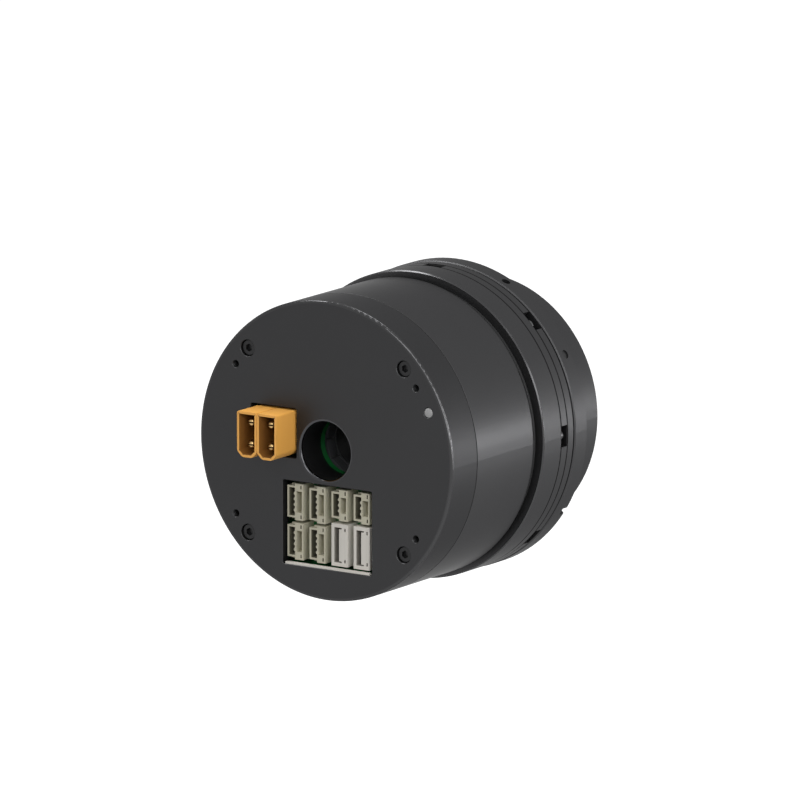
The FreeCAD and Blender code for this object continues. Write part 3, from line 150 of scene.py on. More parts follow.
def place_round_axis(tree, place):
    """A point's distance from the Y axis, and how far along that axis it lies."""
    parts = tree.nodes.new("ShaderNodeSeparateXYZ")
    tree.links.new(place, parts.inputs[0])
    square_x = math_node(tree, "MULTIPLY", parts.outputs["X"], parts.outputs["X"])
    square_z = math_node(tree, "MULTIPLY", parts.outputs["Z"], parts.outputs["Z"])
    radius = math_node(tree, "SQRT", math_node(tree, "ADD", square_x, square_z))
    return radius, parts.outputs["Y"]


def build_grain_group():
    """Fine blasted or moulded grain: a colour, a roughness and a bumped normal that all follow it."""
    tree, start, end = new_group(
        "fine grain",
        [("Colour", "NodeSocketColor", None), ("Mottle", "NodeSocketFloat", 0.1),
         ("Roughness", "NodeSocketFloat", 0.4), ("Rough spread", "NodeSocketFloat", 0.05),
         ("Grain size", "NodeSocketFloat", 4000.0), ("Depth", "NodeSocketFloat", 0.1)],
        [("Colour", "NodeSocketColor"), ("Roughness", "NodeSocketFloat"), ("Normal", "NodeSocketVector")])
    place = tree.nodes.new("ShaderNodeTexCoord").outputs["Object"]
    broad = noise_node(tree, place, MOTTLE_SCALE, 4.0)
    fine = noise_node(tree, place, start.outputs["Grain size"], 2.0)
    shade = math_node(tree, "ADD", math_node(tree, "MULTIPLY", broad, 0.6),
                      math_node(tree, "MULTIPLY", fine, 0.4))
    centred = math_node(tree, "SUBTRACT", shade, 0.5)
    gain = math_node(tree, "ADD", math_node(tree, "MULTIPLY", centred, start.outputs["Mottle"]), 1.0)
    tint = tree.nodes.new("ShaderNodeVectorMath")
    tint.operation = "SCALE"
    tree.links.new(start.outputs["Colour"], tint.inputs[0])
    tree.links.new(gain, tint.inputs["Scale"])
    tree.links.new(tint.outputs[0], end.inputs["Colour"])
    swing = math_node(tree, "MULTIPLY", centred, start.outputs["Rough spread"])
    rough = math_node(tree, "ADD", swing, start.outputs["Roughness"], clamp=True)
    tree.links.new(rough, end.inputs["Roughness"])
    bump = tree.nodes.new("ShaderNodeBump")
    bump.inputs["Distance"].default_value = GRAIN_BUMP
    tree.links.new(start.outputs["Depth"], bump.inputs["Strength"])
    tree.links.new(fine, bump.inputs["Height"])
    tree.links.new(bump.outputs["Normal"], end.inputs["Normal"])
    return tree


def build_turning_group():
    """Fine lathe lines round the Y axis: a height for a bump."""
    tree, start, end = new_group(
        "lathe lines",
        [("Pitch", "NodeSocketFloat", 0.00012), ("Waviness", "NodeSocketFloat", 0.3)],
        [("Height", "NodeSocketFloat")])
    place = tree.nodes.new("ShaderNodeTexCoord").outputs["Object"]
    radius, along_axis = place_round_axis(tree, place)
    along = math_node(tree, "ADD", radius, along_axis)
    phase = math_node(tree, "DIVIDE", math_node(tree, "MULTIPLY", along, TURN), start.outputs["Pitch"])
    wave = math_node(tree, "SINE", phase)
    drift = noise_node(tree, place, DRIFT_SCALE, 2.0)
    mixed = math_node(tree, "ADD", wave, math_node(tree, "MULTIPLY", drift, start.outputs["Waviness"]))
    tree.links.new(mixed, end.inputs["Height"])
    return tree


def build_ring_mask_group():
    """A mask that is 1 on a circle round the Y axis and fades to 0 over a short distance from it."""
    tree, start, end = new_group(
        "ring mask",
        [("Radius", "NodeSocketFloat", 0.03), ("Along", "NodeSocketFloat", 0.0),
         ("Width", "NodeSocketFloat", 0.0003), ("Strength", "NodeSocketFloat", 1.0)],
        [("Mask", "NodeSocketFloat")])
    place = tree.nodes.new("ShaderNodeTexCoord").outputs["Object"]
    radius, along_axis = place_round_axis(tree, place)
    across = math_node(tree, "SUBTRACT", radius, start.outputs["Radius"])
    along = math_node(tree, "SUBTRACT", along_axis, start.outputs["Along"])
    square = math_node(tree, "ADD", math_node(tree, "MULTIPLY", across, across),
                       math_node(tree, "MULTIPLY", along, along))
    share = math_node(tree, "DIVIDE", math_node(tree, "SQRT", square), start.outputs["Width"], clamp=True)
    fade = math_node(tree, "SUBTRACT", 1.0, math_node(tree, "MULTIPLY", share, share))
    tree.links.new(math_node(tree, "MULTIPLY", fade, start.outputs["Strength"]), end.inputs["Mask"])
    return tree


GRAIN = build_grain_group()
TURNING = build_turning_group()
RING_MASK = build_ring_mask_group()


# ---------------------------------------------------------------- materials

class Finish:
    """A material whose Principled shader is fed by the grain group."""

    def __init__(self, name, colour, roughness, metallic=0.0, mottle=0.12, spread=0.06, grain=4000.0,
                 depth=0.12):
        self.material = bpy.data.materials.new(name)
        self.material.use_nodes = True
        self.tree = self.material.node_tree
        self.shader = self.tree.nodes["Principled BSDF"]
        self.grain = self.tree.nodes.new("ShaderNodeGroup")
        self.grain.node_tree = GRAIN
        self.grain.inputs["Colour"].default_value = colour
        self.grain.inputs["Mottle"].default_value = mottle
        self.grain.inputs["Roughness"].default_value = roughness
        self.grain.inputs["Rough spread"].default_value = spread
        self.grain.inputs["Grain size"].default_value = grain
        self.grain.inputs["Depth"].default_value = depth
        self.shader.inputs["Metallic"].default_value = metallic
        for source, target in (("Colour", "Base Color"), ("Roughness", "Roughness"), ("Normal", "Normal")):
            self.tree.links.new(self.grain.outputs[source], self.shader.inputs[target])

    def with_turning(self, pitch, strength):
        """Lathe lines on top of the grain."""
        lines = self.tree.nodes.new("ShaderNodeGroup")
        lines.node_tree = TURNING
        lines.inputs["Pitch"].default_value = pitch
        bump = self.tree.nodes.new("ShaderNodeBump")
        bump.inputs["Strength"].default_value = strength
        bump.inputs["Distance"].default_value = LATHE_BUMP
        self.tree.links.new(lines.outputs["Height"], bump.inputs["Height"])
        self.tree.links.new(self.grain.outputs["Normal"], bump.inputs["Normal"])
        self.tree.links.new(bump.outputs["Normal"], self.shader.inputs["Normal"])
        return self

    def ring_mask(self, radius, along, width, strength):
        """A mask round one circle, given in millimetres."""
        mask = self.tree.nodes.new("ShaderNodeGroup")
        mask.node_tree = RING_MASK
        for label, value in (("Radius", radius), ("Along", along), ("Width", width)):
            mask.inputs[label].default_value = value * MM
        mask.inputs["Strength"].default_value = strength
        return mask.outputs["Mask"]

    def blend_into(self, label, share, value):
        """Mix what feeds a socket of the shader towards a value."""
        source = self.shader.inputs[label].links[0].from_socket
        if label == "Base Color":
            mixed = mix_colours(self.tree, share, source, value)
        else:
            gap = math_node(self.tree, "SUBTRACT", value, source)
            mixed = math_node(self.tree, "ADD", source, math_node(self.tree, "MULTIPLY", gap, share))
        self.tree.links.new(mixed, self.shader.inputs[label])

    def with_painted_joint_shade(self, place):
        """Painted shade along a joint line round the body: the colour is darkened there, and the surface made
        rougher.
        """
        mask = self.ring_mask(*place, JOINT_SHADE_STRENGTH)
        self.blend_into("Base Color", mask, JOINT_SHADE_COLOUR)
        self.blend_into("Roughness", mask, JOINT_ROUGHNESS)
        return self

    def with_polish_and_painted_highlight(self, place, colour, roughness):
        """An edge with a lower roughness, and a lighter colour painted along it as a highlight."""
        mask = self.ring_mask(*place, 1.0)
        self.blend_into("Base Color", mask, colour)
        self.blend_into("Roughness", mask, roughness)
        return self


# painted shade in the joints: how strongly it shows, its dark colour and its roughness
JOINT_SHADE_STRENGTH = 0.85
JOINT_SHADE_COLOUR = linear(8, 8, 8)
JOINT_ROUGHNESS = 0.7
COAT_SPECULAR = 0.2
EDGE_TINT = (0.45, 0.45, 0.45, 1.0)
NYLON_GRAIN = 2500.0

# circles round the axis in millimetres: radius, place along the axis, width
REAR_RIM = (33.25, 0.25, 0.55)
COVER_JOINT = (33.4, 9.85, 0.22)
FRONT_SHOULDER = (32.9, 32.7, 1.3)
FIRST_RING_EDGE = (34.5, 34.5, 0.4)
RING_SEAMS = ((34.55, 41.5, 0.3), (34.55, 44.0, 0.3), (34.4, 46.55, 0.4))


def turned_coat(name, colour, roughness, metallic, pitch, strength):
    """A dark metal coat with lathe lines, which stays dark where it is seen at a low angle."""
    coat = Finish(name, colour, roughness, metallic)
    coat.shader.inputs["Specular IOR Level"].default_value = COAT_SPECULAR
    coat.shader.inputs["Specular Tint"].default_value = EDGE_TINT
    return coat.with_turning(pitch, strength)


def nylon(name, colour, roughness):
    """Moulded plastic with a coarse faint grain."""
    return Finish(name, colour, roughness, mottle=0.08, grain=NYLON_GRAIN).material


cover = turned_coat("cover coat", linear(55, 55, 56), 0.42, 0.88, 0.0003, 0.03)
# painted highlight along the rear rim
cover.with_polish_and_painted_highlight(REAR_RIM, linear(66, 66, 67), 0.16)
# painted shade along the joint with the housing
cover_coat = cover.with_painted_joint_shade(COVER_JOINT).material

housing = turned_coat("housing coat", linear(64, 64, 65), 0.36, 0.9, 0.0003, 0.03)
# painted shade along the joint with the cover
housing.with_painted_joint_shade(COVER_JOINT)
# painted highlight on the front shoulder
housing_coat = housing.with_polish_and_painted_highlight(FRONT_SHOULDER, linear(70, 70, 71), 0.24).material

rings = turned_coat("ring coat", linear(64, 64, 65), 0.40, 0.9, 0.00025, 0.06)
# painted shade along the seams between the rings
for seam in RING_SEAMS:
    rings.with_painted_joint_shade(seam)
# painted highlight on the first ring's rear edge
ring_coat = rings.with_polish_and_painted_highlight(FIRST_RING_EDGE, linear(66, 66, 67), 0.2).material

screw_black = Finish("black screw", linear(34, 34, 35), 0.35, 0.6).material
ground_steel = Finish("ground steel", linear(165, 165, 168), 0.28, 1.0).with_turning(0.0002, 0.1).material
race_steel = Finish("race steel", linear(185, 186, 190), 0.16, 1.0, spread=0.03, depth=0.04).material
amber_nylon = nylon("amber nylon", linear(236, 172, 82), 0.42)
# painted shade: a darker copy of the amber nylon for its cavities
amber_painted_shade = nylon("amber nylon, painted shade", linear(138, 92, 40), 0.5)
beige_nylon = nylon("beige nylon", linear(188, 184, 164), 0.48)
# painted shade: a darker copy of the beige nylon for its cavities and marks
beige_painted_shade = nylon("beige nylon, painted shade", linear(96, 93, 78), 0.55)
white_nylon = nylon("off-white nylon", linear(216, 212, 204), 0.48)
# painted shade: a darker copy of the off-white nylon for its slots and marks
white_painted_shade = nylon("off-white nylon, painted shade", linear(142, 138, 130), 0.55)
gold_plate = Finish("gold plate", linear(190, 160, 110), 0.3, 1.0, depth=0.03).material
tin_plate = Finish("tin plate", linear(150, 148, 140), 0.34, 1.0).material
solder_mask = Finish("solder mask", linear(16, 96, 44), 0.35, mottle=0.3, grain=900.0).material
black_epoxy = Finish("black epoxy", linear(30, 30, 31), 0.55).material
nitrile = Finish("nitrile rubber", linear(26, 26, 27), 0.62, mottle=0.2).material
copper_wire = Finish("enamelled copper", linear(176, 98, 52), 0.34, 0.9).with_turning(0.0005, 0.8).material
frosted = Finish("frosted light pipe", linear(146, 146, 146), 0.4, mottle=0.05).material
laminations = Finish("laminations", linear(110, 110, 113), 0.45, 0.9).with_turning(0.00035, 0.8).material
magnet_plate = Finish("magnet plating", linear(92, 92, 96), 0.36, 0.5).material
plain_brass = Finish("plain brass", linear(196, 160, 92), 0.3, 1.0).material
raw_aluminium = Finish("raw aluminium", linear(176, 177, 180), 0.34, 1.0).with_turning(0.0002, 0.15).material
bright_edge = Finish("bright turned edge", linear(64, 64, 66), 0.14, 1.0, depth=0.02).material
bore_coat = Finish("dark bore coat", linear(64, 64, 66), 0.38, 0.3).with_turning(0.0003, 0.08).material
dull_steel = Finish("dulled steel", linear(84, 84, 85), 0.4, 0.8).material

SLOT_FINISHES = {
    "cover_grey": cover_coat, "housing_grey": housing_coat, "ring_grey": ring_coat,
    "steel_dark": screw_black, "steel": ground_steel, "bearing_steel": race_steel,
    "amber_plastic": amber_nylon, "beige_plastic": beige_nylon, "white_plastic": white_nylon,
    "gold_contact": gold_plate, "tin_contact": tin_plate, "board_green": solder_mask,
    "black_plastic": black_epoxy, "rubber_black": nitrile, "copper": copper_wire,
    "light_pipe": frosted, "lamination": laminations, "magnet": magnet_plate, "brass": plain_brass,
    "aluminium": raw_aluminium, "tube_dark": bore_coat,
}
NODE_FINISHES = {"index_pins": dull_steel, "flange_set_screws": screw_black}


def dress_cad_nodes():
    """Give every CAD node the finish of its material slot, or one of its own."""
    slots = {part["node"]: part["material_slot"] for part in frame["record"]["subparts"]}
    for name, node in frame["nodes"].items():
        finish = NODE_FINISHES.get(name, SLOT_FINISHES[slots[name]])
        node.data.materials.clear()
        node.data.materials.append(finish)


dress_cad_nodes()


# ---------------------------------------------------------------- modelling helpers, sizes in millimetres

def box_mm(node):
    """Lowest and highest corners of a CAD node, in millimetres."""
    low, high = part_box(node)
    return [value / MM for value in low], [value / MM for value in high]


def loop(shape, corners, y):
    """The edges of a closed outline of (x, z) corners at one depth."""
    verts = [shape.verts.new((x * MM, y * MM, z * MM)) for x, z in corners]
    return [shape.edges.new((verts[i - 1], verts[i])) for i in range(len(verts))]


def circle(centre, radius, sides, turn=0.0):
    """Corners of a regular outline, the first one turned by some degrees."""
    steps = [math.radians(turn) + TURN * i / sides for i in range(sides)]
    return [(centre[0] + radius * math.cos(a), centre[1] + radius * math.sin(a)) for a in steps]


def rectangle(left, low, right, high):
    return [(left, low), (right, low), (right, high), (left, high)]


def new_parts(grown, kind):
    """Those parts of one kind that an operator has made."""
    return [part for part in grown["geom"] if isinstance(part, kind)]


def sink(shape, edges, distance, finish_index=0):
    """Draw walls from a closed loop of edges along Y, and close their far end."""
    grown = bmesh.ops.extrude_edge_only(shape, edges=edges)
    bmesh.ops.translate(shape, verts=new_parts(grown, bmesh.types.BMVert), vec=(0, distance * MM, 0))
    end = bmesh.ops.contextual_create(shape, geom=new_parts(grown, bmesh.types.BMEdge))
    for face in new_parts(grown, bmesh.types.BMFace) + end["faces"]:
        face.material_index = finish_index


def block(shape, outline, y_face, y_back, pockets=()):
    """A block along Y; a pocket in its front face is an outline, a depth and which finish it has, where
    finish 1 is the darker copy with painted shade.
    """
    walls = [(loop(shape, outline, y_face), y_back - y_face, 0)]
    walls += [(loop(shape, corners, y_face), depth, index) for corners, depth, index in pockets]
    rims = [edge for edges, depth, index in walls for edge in edges]
    bmesh.ops.triangle_fill(shape, edges=rims, normal=(0, -1, 0), use_beauty=True)
    for edges, depth, index in walls:
        sink(shape, edges, depth, index)


def spun(shape, profile, centre=(0.0, 0.0), steps=32):
    """Turn a (radius, y) profile round an axis along Y."""
    verts = [shape.verts.new(((centre[0] + radius) * MM, y * MM, centre[1] * MM)) for radius, y in profile]
    edges = [shape.edges.new(pair) for pair in zip(verts, verts[1:])]
    bmesh.ops.spin(shape, geom=verts + edges, cent=(centre[0] * MM, 0, centre[1] * MM),
                   axis=(0, 1, 0), angle=TURN, steps=steps, use_merge=True)


def arc(centre, radius, start, end, steps):
    """Points of an arc in a (radius, y) profile, from one angle in degrees to another."""
    turns = [math.radians(start + (end - start) * i / steps) for i in range(steps + 1)]
    return [(centre[0] + radius * math.cos(a), centre[1] + radius * math.sin(a)) for a in turns]


def finish_shape(shape, name, body, slot, stands_for=(), edge=0.0, finish=None, inside=None, edge_steps=2):
    """Close a shape, dress it and let it ride on its body; edge is the width of its rounded edges, and inside
    is a darker second finish that paints shade into pockets.
    """
    bmesh.ops.remove_doubles(shape, verts=shape.verts, dist=WELD_DISTANCE)
    bmesh.ops.recalc_face_normals(shape, faces=shape.faces)
    mesh = bpy.data.meshes.new(name)
    shape.to_mesh(mesh)
    shape.free()
    mesh.shade_smooth()
    mesh.set_sharp_from_angle(angle=SHARP_ANGLE)
    mesh.materials.append(finish or SLOT_FINISHES[slot])
    # the second finish is painted shade for the faces of pockets
    if inside:
        mesh.materials.append(inside)
    piece = bpy.data.objects.new(name, mesh)
    bpy.context.scene.collection.objects.link(piece)
    if edge:
        rounding = piece.modifiers.new("rounded edges", "BEVEL")
        rounding.width = edge * MM
        rounding.segments = edge_steps
        rounding.limit_method = "ANGLE"
        rounding.angle_limit = SHARP_ANGLE
        rounding.harden_normals = True
    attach(piece, body)
    if stands_for:
        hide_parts(*stands_for)


# ---------------------------------------------------------------- power headers

POWER_GAP = 0.1
POWER_WALL = 0.55
POWER_CUT = 1.3
POWER_FLOOR = 0.4
OUTER_ROUNDS = (0.45, 0.46)
INNER_ROUNDS = (0.32, 0.32)
PIN_RADIUS = 0.95
PIN_FOOT_RADIUS = 1.12
PIN_SLIT = 0.17
UPRIGHT_REACH = 0.02


def keyed_outline(left, right, low, high, inset):
    """Square corners above and cut corners below, moved inwards by inset."""
    cut = POWER_CUT - inset * (2 - math.sqrt(2))
    left, right, low, high = left + inset, right - inset, low + inset, high - inset
    return [(left + cut, low), (right - cut, low), (right, low + cut), (right, high), (left, high),
            (left, low + cut)]


def round_uprights(shape, corners, setback):
    """Round the edges along Y that stand on these (x, z) corners."""
    picked = []
    for edge in shape.edges:
        first, last = (vert.co for vert in edge.verts)
        sideways = Vector((first.x - last.x, 0, first.z - last.z)).length
        near = any(math.hypot(first.x / MM - x, first.z / MM - z) < UPRIGHT_REACH for x, z in corners)
        if near and sideways < 0.01 * MM:
            picked.append(edge)
    bmesh.ops.bevel(shape, geom=picked, offset=setback * MM, offset_type="OFFSET", affect="EDGES",
                    segments=4, profile=0.5, material=-1, clamp_overlap=False)


def add_power_headers():
    """Two keyed shells side by side, each with thin walls round a deep cavity."""
    low, high = box_mm("power_header_housings")
    width = (high[0] - low[0] - POWER_GAP) / 2
    shape = bmesh.new()
    for left in (low[0], high[0] - width):
        sides = (left, left + width, low[2], high[2])
        outer = keyed_outline(*sides, 0.0)
        inner = keyed_outline(*sides, POWER_WALL)
        # finish 1: painted shade on the cavity's walls and floor
        block(shape, outer, low[1], high[1], [(inner, POWER_FLOOR - low[1], 1)])
        for corners, (high_round, low_round) in ((outer, OUTER_ROUNDS), (inner, INNER_ROUNDS)):
            round_uprights(shape, corners[3:5], high_round)
            round_uprights(shape, corners[:3] + corners[5:], low_round)
    finish_shape(shape, "power_headers", "housing", "amber_plastic", ["power_header_housings"], 0.14,
                 inside=amber_painted_shade, edge_steps=3)


def add_half_pin(shape, profile, centre, side):
    """The part of a turned pin on one side of its level slit, closed along the cut."""
    half = bmesh.new()
    spun(half, profile, centre, 32)
    bmesh.ops.remove_doubles(half, verts=half.verts, dist=WELD_DISTANCE)
    cut = bmesh.ops.bisect_plane(
        half, geom=half.verts[:] + half.edges[:] + half.faces[:], clear_inner=True,
        plane_co=(0, 0, (centre[1] + PIN_SLIT * side) * MM), plane_no=(0, 0, side))
    rim = [part for part in cut["geom_cut"] if isinstance(part, bmesh.types.BMEdge)]
    bmesh.ops.contextual_create(half, geom=rim)
    scrap = bpy.data.meshes.new("half pin")
    half.to_mesh(scrap)
    half.free()
    shape.from_mesh(scrap)
    bpy.data.meshes.remove(scrap)


def add_power_pins():
    """Bullet pins, each split by a level slit so that it springs in its socket."""
    low, high = box_mm("power_header_pins")
    tip, foot = low[1], high[1]
    bullet = [(0.0, tip), (0.4, tip + 0.02), (0.62, tip + 0.12), (0.79, tip + 0.32), (0.89, tip + 0.62),
              (PIN_RADIUS, tip + 1.1), (PIN_RADIUS, POWER_FLOOR), (0.0, POWER_FLOOR)]
    collar, collar_end = POWER_FLOOR - 0.15, POWER_FLOOR + 0.2
    stub = [(0.0, collar), (PIN_FOOT_RADIUS, collar), (PIN_FOOT_RADIUS, collar_end),
            (PIN_RADIUS, collar_end), (PIN_RADIUS, foot), (0.0, foot)]
    shape = bmesh.new()
    for x in (low[0] + PIN_RADIUS, high[0] - PIN_RADIUS):
        for z in (low[2] + PIN_RADIUS, high[2] - PIN_RADIUS):
            for side in (-1, 1):
                add_half_pin(shape, bullet, (x, z), side)
            spun(shape, stub, (x, z), 32)
    finish_shape(shape, "power_pins", "housing", "gold_contact", ["power_header_pins"], 0.03)


# ---------------------------------------------------------------- signal and service headers

# how many contacts each header of a node has, and how many rows of headers
SIGNAL_NODES = {"signal_headers_4_way": (4, 2), "signal_headers_3_way": (3, 1)}
CONTACT_PITCH = 1.25
HEADER_PITCH = 5.88
HALF_WIDTH = 2.12
STEP = -0.1
STEP_HEIGHT = 0.55
CAVITY_LEFT = -1.6
CAVITY_DEPTH = 2.9
RIB_HEIGHT = 0.34
RIB_HALF = 0.36
LATCH_DEPTH = 2.2
MARK_DEPTH = 1.2
LEDGE_SETBACK = 0.9
HEADER_END = 2.25
CAVITY_END = 1.25
MARK_HALF = 0.38
CONTACT_HALF = 0.2
CONTACT_TAPER = 0.3
SERVICE_HALF_WIDTH = 2.15
SERVICE_DEPTH = 3.0
SERVICE_MARK_HALF = 0.36
SLOT_HALF = 3.62
HOOK_HALF = 3.9


def half_height(contacts):
    """Half the height of a signal header with so many contacts."""
    return CONTACT_PITCH * (contacts - 1) / 2 + HEADER_END


def header_places(node, rows, reach):
    """Centres of a block of headers: two columns, and rows from the top of the node's box down."""
    low, high = box_mm(node)
    first = low[0] + HALF_WIDTH
    places = []
    for z in [high[2] - reach, low[2] + reach][:rows]:
        places += [(first, z), (first + HEADER_PITCH, z)]
    return places, low[1], high[1]


def contact_rows(z, contacts):
    """Heights of a header's contacts."""
    return [z + CONTACT_PITCH * (i - (contacts - 1) / 2) for i in range(contacts)]


def stepped_block(x, z, reach):
    """The latch side, on the right, stands taller than the contact side."""
    step = x + STEP
    short = reach - STEP_HEIGHT
    return [(x - HALF_WIDTH, z - short), (step, z - short), (step, z - reach), (x + HALF_WIDTH, z - reach),
            (x + HALF_WIDTH, z + reach), (step, z + reach), (step, z + short), (x - HALF_WIDTH, z + short)]


def scalloped_cavity(x, z, contacts):
    """The plug cavity; a rounded rib stands in its right wall at each contact."""
    half = CONTACT_PITCH * (contacts - 1) / 2 + CAVITY_END
    deep = x + STEP
    corners = [(x + CAVITY_LEFT, z + half), (x + CAVITY_LEFT, z - half), (deep, z - half)]
    for row in contact_rows(z, contacts):
        for i in range(7):
            swing = math.pi * i / 6
            corners.append((deep - RIB_HEIGHT * math.sin(swing), row - RIB_HALF * math.cos(swing)))
    corners.append((deep, z + half))
    return corners


def add_signal_headers(name, node):
    """Board headers with a scalloped cavity, a latch pocket and two small marks in their face."""
    contacts, rows = SIGNAL_NODES[node]
    reach = half_height(contacts)
    places, face, back = header_places(node, rows, reach)
    shape = bmesh.new()
    for x, z in places:
        latch = reach - 1.75
        # finish 1 paints shade into the cavity and the marks, not into the latch pocket
        pockets = [(scalloped_cavity(x, z, contacts), CAVITY_DEPTH, 1),
                   (rectangle(x + 0.25, z - latch, x + 1.75, z + latch), LATCH_DEPTH, 0)]
        for side in (-1, 1):
            middle = z + side * (reach - 0.8)
            mark = rectangle(x + 1.38, middle - MARK_HALF, x + 1.66, middle + MARK_HALF)
            pockets.append((mark, MARK_DEPTH, 1))
        block(shape, stepped_block(x, z, reach), face, back, pockets)
        for side in (-1, 1):
            ends = sorted((z + side * (reach - 0.8), z + side * (reach - 0.12)))
            block(shape, rectangle(x - 1.45, ends[0], x - 0.05, ends[1]), face + LEDGE_SETBACK, back)
    finish_shape(shape, name, "housing", "beige_plastic", [node], 0.06, inside=beige_painted_shade)


def add_service_headers():
    """Two plain headers with a hooked slot and two small marks in their face."""
    low, high = box_mm("service_headers")
    reach = (high[2] - low[2]) / 2
    z = (high[2] + low[2]) / 2
    shape = bmesh.new()
    for x in (low[0] + SERVICE_HALF_WIDTH, high[0] - SERVICE_HALF_WIDTH):
        left, right, hook = x - 1.35, x - 0.15, x + 0.55
        slot = [(left, z - HOOK_HALF), (hook, z - HOOK_HALF), (hook, z - SLOT_HALF), (right, z - SLOT_HALF),
                (right, z + SLOT_HALF), (hook, z + SLOT_HALF), (hook, z + HOOK_HALF), (left, z + HOOK_HALF)]
        # finish 1 paints shade into the slot and the marks
        pockets = [(slot, SERVICE_DEPTH, 1)]
        for side in (-1, 1):
            middle = z + side * 3.5
            mark = rectangle(x + 1.3, middle - SERVICE_MARK_HALF, x + 1.6, middle + SERVICE_MARK_HALF)
            pockets.append((mark, MARK_DEPTH, 1))
        outline = rectangle(x - SERVICE_HALF_WIDTH, z - reach, x + SERVICE_HALF_WIDTH, z + reach)
        block(shape, outline, low[1], high[1], pockets)
    finish_shape(shape, "service_sockets", "housing", "white_plastic", ["service_headers"], 0.09,
                 inside=white_painted_shade)


def add_contacts():
    """Square contact pins in the signal headers' cavities."""
    shape = bmesh.new()
    for node, (contacts, rows) in SIGNAL_NODES.items():
        places, face = header_places(node, rows, half_height(contacts))[:2]
        for x, z in places:
            for row in contact_rows(z, contacts):
                square_pin(shape, x - 0.85, row, face + 1.0, face + CAVITY_DEPTH + 0.2)
    finish_shape(shape, "signal_contacts", "housing", "tin_contact", ["signal_header_contacts"])


def square_pin(shape, x, z, tip, foot):
    """One contact with a tapered tip."""
    half, quarter = CONTACT_HALF, CONTACT_HALF / 2
    start = loop(shape, rectangle(x - quarter, z - quarter, x + quarter, z + quarter), tip)
    shoulder = loop(shape, rectangle(x - half, z - half, x + half, z + half), tip + CONTACT_TAPER)
    bmesh.ops.contextual_create(shape, geom=start)
    bmesh.ops.bridge_loops(shape, edges=start + shoulder)
    sink(shape, shoulder, foot - tip - CONTACT_TAPER)


# ---------------------------------------------------------------- screws, lens and threads

HEAD_RADIUS = 1.65
HEAD_HEIGHT = 1.3
SOCKET_RADIUS = 0.9
SOCKET_DEPTH = 0.85
SHANK_RADIUS = 1.0
LENS_RADIUS = 1.1
THREAD_DEPTH = 0.13
THREAD_BACK = 0.12
THREAD_END = 4.2
REAR_HOLES = (23.9, 16.8)
REAR_HOLE_RADIUS = 0.8
REAR_HOLE_PITCH = 0.4
OUTPUT_CIRCLE = 25.0
OUTPUT_COUNT = 8
OUTPUT_HOLE_RADIUS = 1.25
OUTPUT_HOLE_PITCH = 0.45


def add_cover_screws():
    """Four cap screws: a rounded head with a hexagon socket, and a shank down its post."""
    low, high = box_mm("cover_screws")
    shape = bmesh.new()
    for x in (low[0] + HEAD_RADIUS, high[0] - HEAD_RADIUS):
        for z in (low[2] + HEAD_RADIUS, high[2] - HEAD_RADIUS):
            head, shank = circle((x, z), HEAD_RADIUS, 36), circle((x, z), SHANK_RADIUS, 24)
            socket = circle((x, z), SOCKET_RADIUS, 6, 30)
            block(shape, head, low[1], low[1] + HEAD_HEIGHT, [(socket, SOCKET_DEPTH, 0)])
            block(shape, shank, low[1] + 1.2, high[1])
    finish_shape(shape, "cover_cap_screws", "housing", "steel_dark", ["cover_screws"], 0.13)


def add_light_lens():
    """A frosted lens with a faint dome, on a foot that stands on the driver board."""
    low, high = box_mm("led_light_pipe")
    centre = ((low[0] + high[0]) / 2, (low[2] + high[2]) / 2)
    face, foot = low[1], high[1]
    wide = LENS_RADIUS + 0.5
    dome = [(0.0, face), (0.45, face + 0.015), (0.8, face + 0.06), (1.0, face + 0.14), (1.08, face + 0.24),
            (LENS_RADIUS, face + 0.4)]
    rest = [(LENS_RADIUS, face + 2.3), (wide, face + 2.3), (wide, foot), (0.0, foot)]
    shape = bmesh.new()
    spun(shape, dome + rest, centre, 40)
    finish_shape(shape, "light_lens", "housing", "light_pipe", ["led_light_pipe"])


def thread_profile(radius, start, end, pitch):
    """A closed zigzag: crests inside the hole, a plain back hidden in the wall."""
    turns = int(abs(end - start) / pitch)
    step = (end - start) / turns
    points = []
    for i in range(turns):
        points.append((radius, start + step * i))
        points.append((radius - THREAD_DEPTH, start + step * (i + 0.5)))
    points.append((radius, end))
    back = radius + THREAD_BACK
    return points + [(back, end), (back, start + step * 0.3), points[0]]


def add_threads():
    """Zigzag rings that stand for the threads in the tapped holes of both ends."""
    shape = bmesh.new()
    for x in (-REAR_HOLES[0], REAR_HOLES[0]):
        for z in (-REAR_HOLES[1], REAR_HOLES[1]):
            profile = thread_profile(REAR_HOLE_RADIUS, 0.25, THREAD_END, REAR_HOLE_PITCH)
            spun(shape, profile, (x, z), 24)
    finish_shape(shape, "rear_threads", "housing", "cover_grey")
    output_end = box_mm("output_flange")[1][1]
    shape = bmesh.new()
    for i in range(OUTPUT_COUNT):
        turn = TURN * i / OUTPUT_COUNT
        place = (OUTPUT_CIRCLE * math.sin(turn), OUTPUT_CIRCLE * math.cos(turn))
        start, end = output_end - 0.3, output_end - THREAD_END
        spun(shape, thread_profile(OUTPUT_HOLE_RADIUS, start, end, OUTPUT_HOLE_PITCH), place, 28)
    finish_shape(shape, "output_threads", "output", "ring_grey")


# ---------------------------------------------------------------- bore edge

BORE_EDGE_CENTRE = (7.11, 0.6)
BORE_EDGE_RADIUS = 0.622
BORE_EDGE_BACK = (7.15, 0.3)


def add_bore_edge():
    """The bright turned edge of the cable bore: a quarter round with its back hidden in the wall."""
    shape = bmesh.new()
    edge = arc(BORE_EDGE_CENTRE, BORE_EDGE_RADIUS, 180, 270, 8)
    spun(shape, edge + [BORE_EDGE_BACK, edge[0]], steps=96)
    finish_shape(shape, "bore_edge", "housing", "cover_grey", finish=bright_edge)


